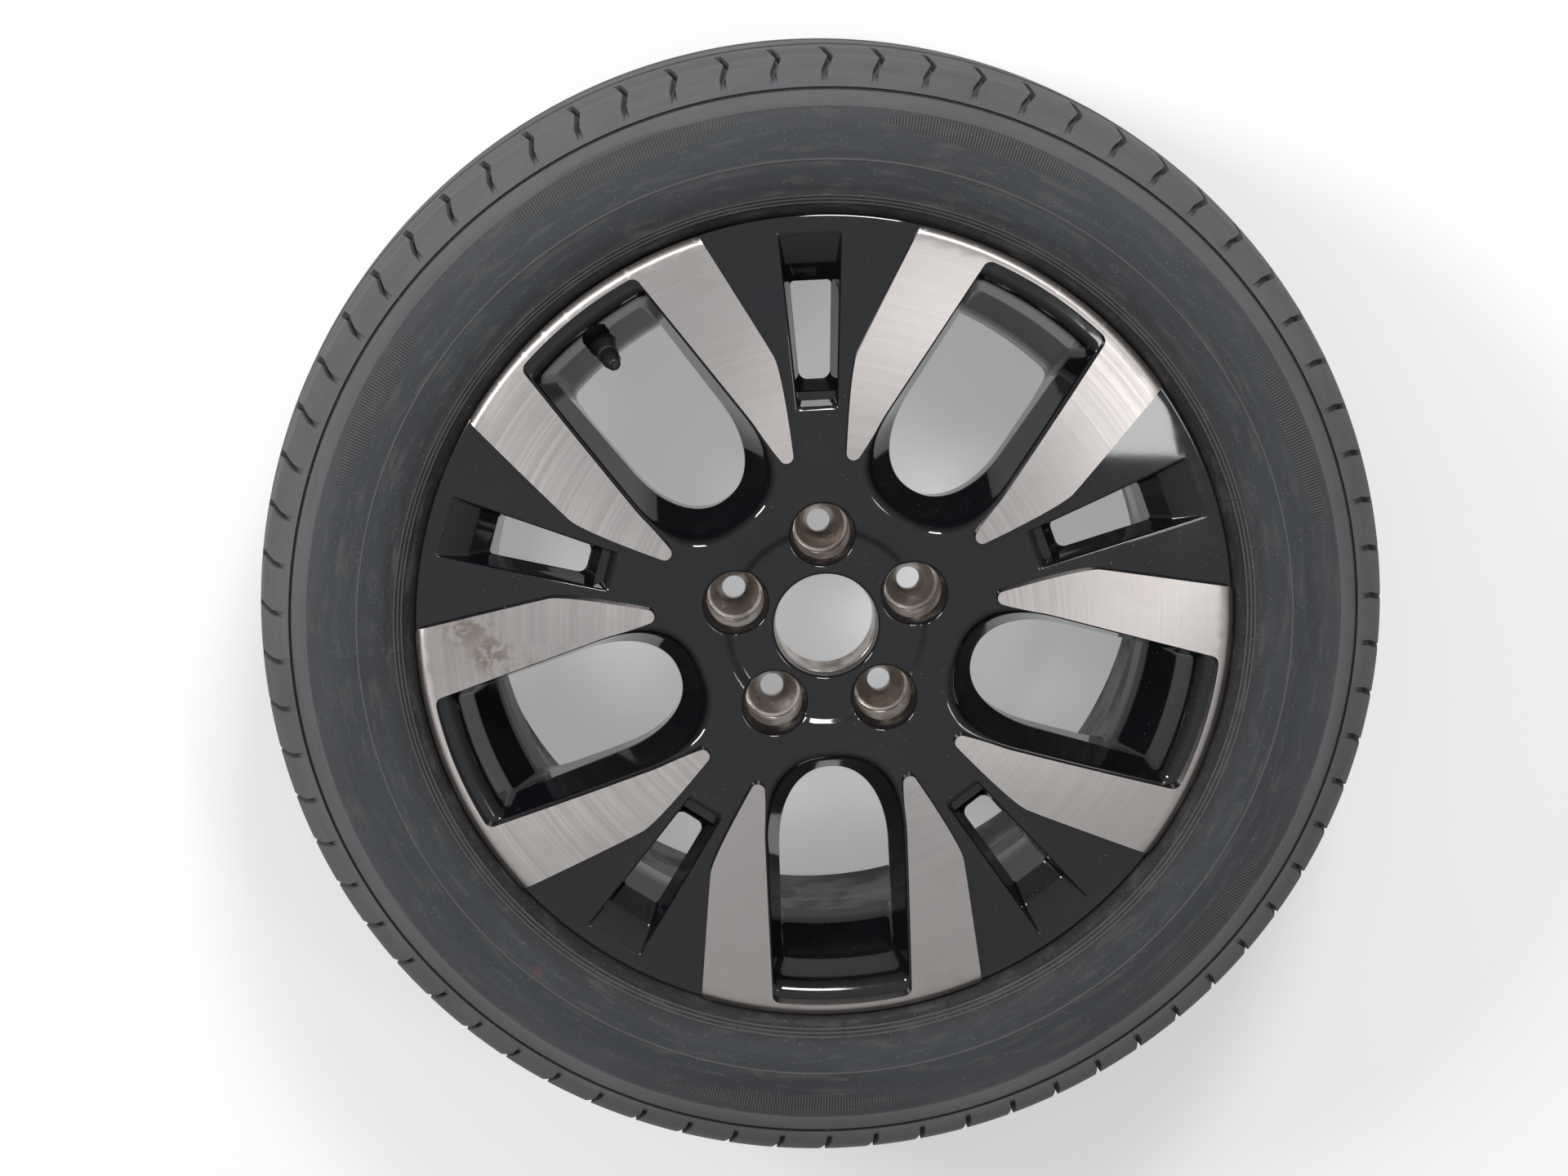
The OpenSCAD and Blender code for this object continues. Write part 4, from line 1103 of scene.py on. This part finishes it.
def rubber_finish(colour):
    """Tyre rubber: brownish by the rim, dusty and bluish towards the shoulder, with hatching and ticks,
    painted highlights on the moulded rings, the band's edge and the hatching's crests, and painted shade in
    the pressed line.
    """
    f = Finish("tyre_rubber", ior=1.48)
    radius, angle, z = f.polar()
    grain = f.noise(620, 3, 0.6)
    cloud = f.noise(1, 4, 0.6, f.vector(f.times(radius, 42), f.times(angle, 2.2), f.times(z, 25)))
    smear = f.noise(1, 3, 0.6, f.vector(f.times(radius, 210), f.times(angle, 9)))
    near_rim = f.step(radius, 238 * MM, 258 * MM, 1.0, 0.0)
    bloom = f.times(f.step(radius, 270 * MM, 316 * MM), f.step(cloud, 0.28, 0.72, 0.45, 1.0))
    shoulder = f.times(f.step(radius, 295.5 * MM, 297.5 * MM), f.step(cloud, 0.25, 0.75, 0.55, 1.0))
    band_edge = BAND_R - BAND_W / 2
    # Lighter lines on the moulded rings and the band's edge: painted highlights.
    edges = f.most([f.between(radius, WIDEST_R - 0.4, WIDEST_R + 0.4, 0.4),
                    f.between(radius, band_edge - 0.4, band_edge + 0.2, 0.4),
                    *(f.between(radius, middle - 0.2, middle + 0.2, 0.3) for middle in THIN_RINGS)])
    tread_r = TYRE_R - SHOULDER_DROP
    worn = f.step(radius, tread_r * MM, (tread_r + 2) * MM)
    on_side = f.step(f.calc("ABSOLUTE", f.calc("ADD", z, -MID_Z * MM)), 95 * MM, 98 * MM)
    # Darker in the pressed line between side and shoulder: painted shade.
    painted_line_shade = f.times(f.between(radius, LINE_R - 0.8, LINE_R + 0.8, 0.2), on_side)
    dust = f.step(f.noise(760, 1, 0.5), 0.69, 0.75)
    hatch = f.times(hatched(f, radius, angle), f.step(z, 30 * MM, 36 * MM))
    comb = f.calc("SINE", f.times(angle, HATCH_LINES))
    f.set("Base Color", f.layers(
        f.blend(f.step(cloud, 0.35, 0.68), colour, shade(colour, 1.35)),
        (f.times(near_rim, 0.85), (0.022, 0.020, 0.020)),
        (f.times(bloom, 0.85), (0.090, 0.095, 0.102)),
        (f.times(shoulder, 0.75), (0.150, 0.152, 0.158)),
        (f.times(f.step(smear, 0.48, 0.74), 0.55), (0.100, 0.098, 0.094)),
        # painted highlights on the rings and the band's edge
        (f.times(edges, 0.6), (0.135, 0.132, 0.125)),
        (f.times(worn, 0.5), (0.062, 0.060, 0.058)),
        (f.times(painted_line_shade, 0.8), (0.012, 0.012, 0.013)),
        (f.times(dust, 0.55), (0.19, 0.185, 0.17)),
        (f.times(f.spot((-177.8, -193.3, 62), 4.0, 0.6), 0.5), (0.15, 0.055, 0.050)),
        (f.times(f.spot((103.8, -228.0, 62), 2.6, 0.4), 0.8), (0.55, 0.50, 0.33)),
        # Lighter on the crests of the hatching: painted highlight.
        (f.times(f.times(hatch, f.step(comb, 0.1, 0.9)), 0.8), (0.135, 0.135, 0.130))))
    f.set("Roughness", f.step(cloud, 0.2, 0.8, 0.60, 0.84))
    tick = f.step(f.calc("COSINE", f.times(angle, TICKS)), 0.9975, 0.9990)
    ticks = f.times(f.between(radius, 239.5, 246.5, 0.4), tick)
    moulded = f.bump(f.calc("ADD", f.times(hatch, comb), f.times(ticks, 1.5)), 0.32, 0.9)
    f.set("Normal", f.bump(f.calc("ADD", grain, f.times(smear, 0.8)), 0.10, 0.6, moulded))
    return f.made


def plain_finish(name, colour, rough, metallic=0.0, grain=700, soil=(0.05, 0.045, 0.04)):
    """Small part: fine grain, uneven gloss and dirt that gathers in patches."""
    f = Finish(name, metallic=metallic)
    dirt = f.step(f.noise(180, 4, 0.6), 0.45, 0.7)
    f.set("Base Color", f.blend(f.times(dirt, 0.5), colour, soil))
    f.set("Roughness", f.step(f.noise(260, 3), 0.3, 0.7, rough - 0.08, rough + 0.12))
    f.set("Normal", f.bump(f.noise(grain, 3, 0.6), 0.03, 0.5))
    return f.made


def floor_finish(colour):
    """Matt pale floor. Seen straight or in a reflection it glows, more so far from the wheel, so it stays
    pale under the lamps."""
    f = Finish("pale_floor", roughness=0.9)
    f.set("Base Color", f.blend(f.step(f.noise(2.5, 3, 0.5), 0.3, 0.7), shade(colour, 0.98), colour))
    seen = f.add("ShaderNodeLightPath").outputs
    rays = f.calc("ADD", seen["Is Camera Ray"], seen["Is Glossy Ray"])
    lift = f.calc("MINIMUM", f.calc("ADD", rays, seen["Is Transmission Ray"]), 1.0)
    f.shader.inputs["Emission Color"].default_value = (*colour, 1)
    f.set("Emission Strength", f.times(lift, f.step(f.polar()[0], 0.7, 3.5, 0.36, 0.72)))
    f.set("Normal", f.bump(f.noise(900, 3, 0.6), 0.05, 0.3))
    return f.made


def lathe_uv(co):
    """U goes round the wheel, as long as on a circle of 0.2 m, and V outwards in metres, so a tangent along
    U follows the tool."""
    x, y = co[:, 0], co[:, 1]
    return np.column_stack([np.arctan2(y, x) * 0.2, np.hypot(x, y)])


class WHEEL_OT_casting(bpy.types.Operator):
    """Painted casting: face, windows, slots, bolt pockets, rim and barrel"""

    bl_idname = "wheel.casting"
    bl_label = "Casting"

    def execute(self, context):
        shell = Shell()
        openings, bore = casting_front(shell)
        casting_back(shell, openings, bore)
        casting_rim(shell)
        colour = tuple(context.scene.wheel_looks.paint)
        piece = shell.object("casting", [paint_finish(colour), bare_finish(), barrel_finish()])
        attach(piece, "wheel")
        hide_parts("alloy_wheel")
        return {"FINISHED"}


class WHEEL_OT_machined(bpy.types.Operator):
    """Machined faces of the blades and the arcs that join them"""

    bl_idname = "wheel.machined"
    bl_label = "Machined faces"

    def execute(self, context):
        shell = Shell()
        for i in range(PITCHES):
            blade_plate(shell, window_turn(i))
        finish = silver_finish(tuple(context.scene.wheel_looks.silver))
        piece = shell.object("machined_faces", [finish], uv=lathe_uv)
        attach(piece, "wheel")
        return {"FINISHED"}


class WHEEL_OT_tyre(bpy.types.Operator):
    """Tyre with its grooves"""

    bl_idname = "wheel.tyre"
    bl_label = "Tyre"

    def execute(self, context):
        shell = Shell()
        looks = context.scene.wheel_looks
        depths = (round(depth / MM, 2) for depth in (looks.groove_depth, looks.cross_depth))
        shell.grid(tyre_rows(*depths, looks.cross_grooves))
        piece = shell.object("tyre_body", [rubber_finish(tuple(looks.rubber))], sharp=38)
        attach(piece, "wheel")
        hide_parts("tyre")
        return {"FINISHED"}


class WHEEL_OT_valve(bpy.types.Operator):
    """Finishes of the valve: rubber body, brass stem and core, plastic cap"""

    bl_idname = "wheel.valve"
    bl_label = "Valve"

    def execute(self, context):
        rubber = plain_finish("valve_rubber", (0.018, 0.018, 0.019), 0.6, grain=500)
        brass = plain_finish("valve_brass", (0.50, 0.36, 0.15), 0.3, metallic=1.0, grain=1500,
                             soil=(0.20, 0.13, 0.06))
        seal = plain_finish("seal_rubber", (0.030, 0.030, 0.032), 0.5)
        cap = plain_finish("cap_plastic", (0.014, 0.014, 0.016), 0.38, soil=(0.10, 0.095, 0.085))
        finishes = {"valve_body": rubber, "valve_stem": brass, "core_body": brass, "core_pin": brass,
                    "core_seal": seal, "valve_cap": cap, "cap_seal": seal}
        for name, finish in finishes.items():
            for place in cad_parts[name].material_slots:
                place.material = finish
        return {"FINISHED"}


# Square lamps that face the hub: name, place and side in metres, and power in watts
LAMPS = (("key", (0.80, 0.02, 2.0), 0.3, 2.6),
         ("side", (-1.6, 0.9, 1.6), 0.5, 19),
         ("top", (0.35, 1.7, 1.8), 0.5, 20))
FLOOR_GAP = 0.0002

# Camera, as it was solved from the picture: turns about X and Y in radians and about its own axis in
# degrees, shift in millimetres, height of its turning point, and focal length in the picture's pixels
CAMERA_TURNS = (0.209352, 0.044978, 3.083819)
CAMERA_SHIFT = (24.4391, -22.0547, -1614.78)
PIVOT_Z = 48.5
FOCAL_PX, PICTURE_PX = 3436.82, 1920
SENSOR = 36


def floor_sheet(half, finish):
    """Square floor just under the wheel."""
    z = CAD_BOX[0].z - FLOOR_GAP
    mesh = bpy.data.meshes.new("floor")
    corners = [(x * half, y * half, z) for x, y in ((-1, -1), (1, -1), (1, 1), (-1, 1))]
    mesh.from_pydata(corners, [], [(0, 1, 2, 3)])
    mesh.materials.append(finish)
    piece = bpy.data.objects.new("floor", mesh)
    bpy.context.scene.collection.objects.link(piece)
    return piece


def studio_world():
    """Light from the world: warm and dim low down, white above, and near white where the camera sees it."""
    world = bpy.data.worlds.new("studio")
    bpy.context.scene.world = world
    n = Nodes(world, "Background")
    where = n.add("ShaderNodeTexCoord").outputs["Generated"]
    height = n.add("ShaderNodeSeparateXYZ", {0: where}).outputs[2]
    up = n.add("ShaderNodeMapRange", {"Value": height, "From Min": 0.25, "From Max": 0.95}).outputs["Result"]
    tone = n.blend(up, (0.36, 0.31, 0.27), (0.92, 0.94, 0.97))
    seen = n.add("ShaderNodeLightPath").outputs["Is Camera Ray"]
    n.set("Color", n.blend(seen, tone, (1.72, 1.73, 1.75)))
    n.shader.inputs["Strength"].default_value = 0.56


def lamp(name, place, size, power):
    """Square lamp at a place, turned to the origin."""
    light = bpy.data.lights.new(name, "AREA")
    light.size = size
    light.energy = power
    made = bpy.data.objects.new(name, light)
    made.location = place
    made.rotation_euler = Vector(place).to_track_quat("Z", "Y").to_euler()
    bpy.context.scene.collection.objects.link(made)


def camera():
    """Camera of the picture: leaning 12 and 2.6 degrees from the axle, 1.6 m away."""
    rx, ry, spin = CAMERA_TURNS
    turns = (Matrix.Rotation(ry, 4, "Y") @ Matrix.Rotation(rx, 4, "X")
             @ Matrix.Rotation(math.radians(spin), 4, "Z"))
    shift = Matrix.Translation(Vector(CAMERA_SHIFT) * MM)
    view = shift @ turns @ Matrix.Translation((0, 0, -PIVOT_Z * MM))
    data = bpy.data.cameras.new("camera")
    data.sensor_width = SENSOR
    data.lens = SENSOR * FOCAL_PX / PICTURE_PX
    data.clip_end = 50
    made = bpy.data.objects.new("camera", data)
    made.matrix_world = view.inverted()
    bpy.context.scene.collection.objects.link(made)
    bpy.context.scene.camera = made


class WHEEL_OT_stage(bpy.types.Operator):
    """Floor, lamps, world and camera"""

    bl_idname = "wheel.stage"
    bl_label = "Stage"

    def execute(self, context):
        looks = context.scene.wheel_looks
        floor = floor_sheet(looks.floor_width / 2, floor_finish(tuple(looks.floor)))
        studio_world()
        for name, place, size, power in LAMPS:
            lamp(name, place, size, power)
        camera()
        context.scene.view_settings.view_transform = "Standard"
        return {"FINISHED"}


class WHEEL_PT_panel(bpy.types.Panel):
    """Lists the wheel's pieces in the sidebar"""

    bl_label = "Alloy wheel"
    bl_space_type = "VIEW_3D"
    bl_region_type = "UI"
    bl_category = "Wheel"

    def draw(self, context):
        layout = self.layout
        for name in WheelLooks.__annotations__:
            layout.prop(context.scene.wheel_looks, name)
        for op in OPERATORS:
            layout.operator(op.bl_idname)


OPERATORS = (WHEEL_OT_casting, WHEEL_OT_machined, WHEEL_OT_tyre, WHEEL_OT_valve, WHEEL_OT_stage)
CLASSES = (WheelLooks, *OPERATORS, WHEEL_PT_panel)


def register():
    for made in CLASSES:
        bpy.utils.register_class(made)
    bpy.types.Scene.wheel_looks = bpy.props.PointerProperty(type=WheelLooks)


def unregister():
    del bpy.types.Scene.wheel_looks
    for made in reversed(CLASSES):
        bpy.utils.unregister_class(made)


def main():
    register()
    bpy.ops.wheel.casting()
    bpy.ops.wheel.machined()
    bpy.ops.wheel.tyre()
    bpy.ops.wheel.valve()
    bpy.ops.wheel.stage()


if __name__ == "__main__":
    main()
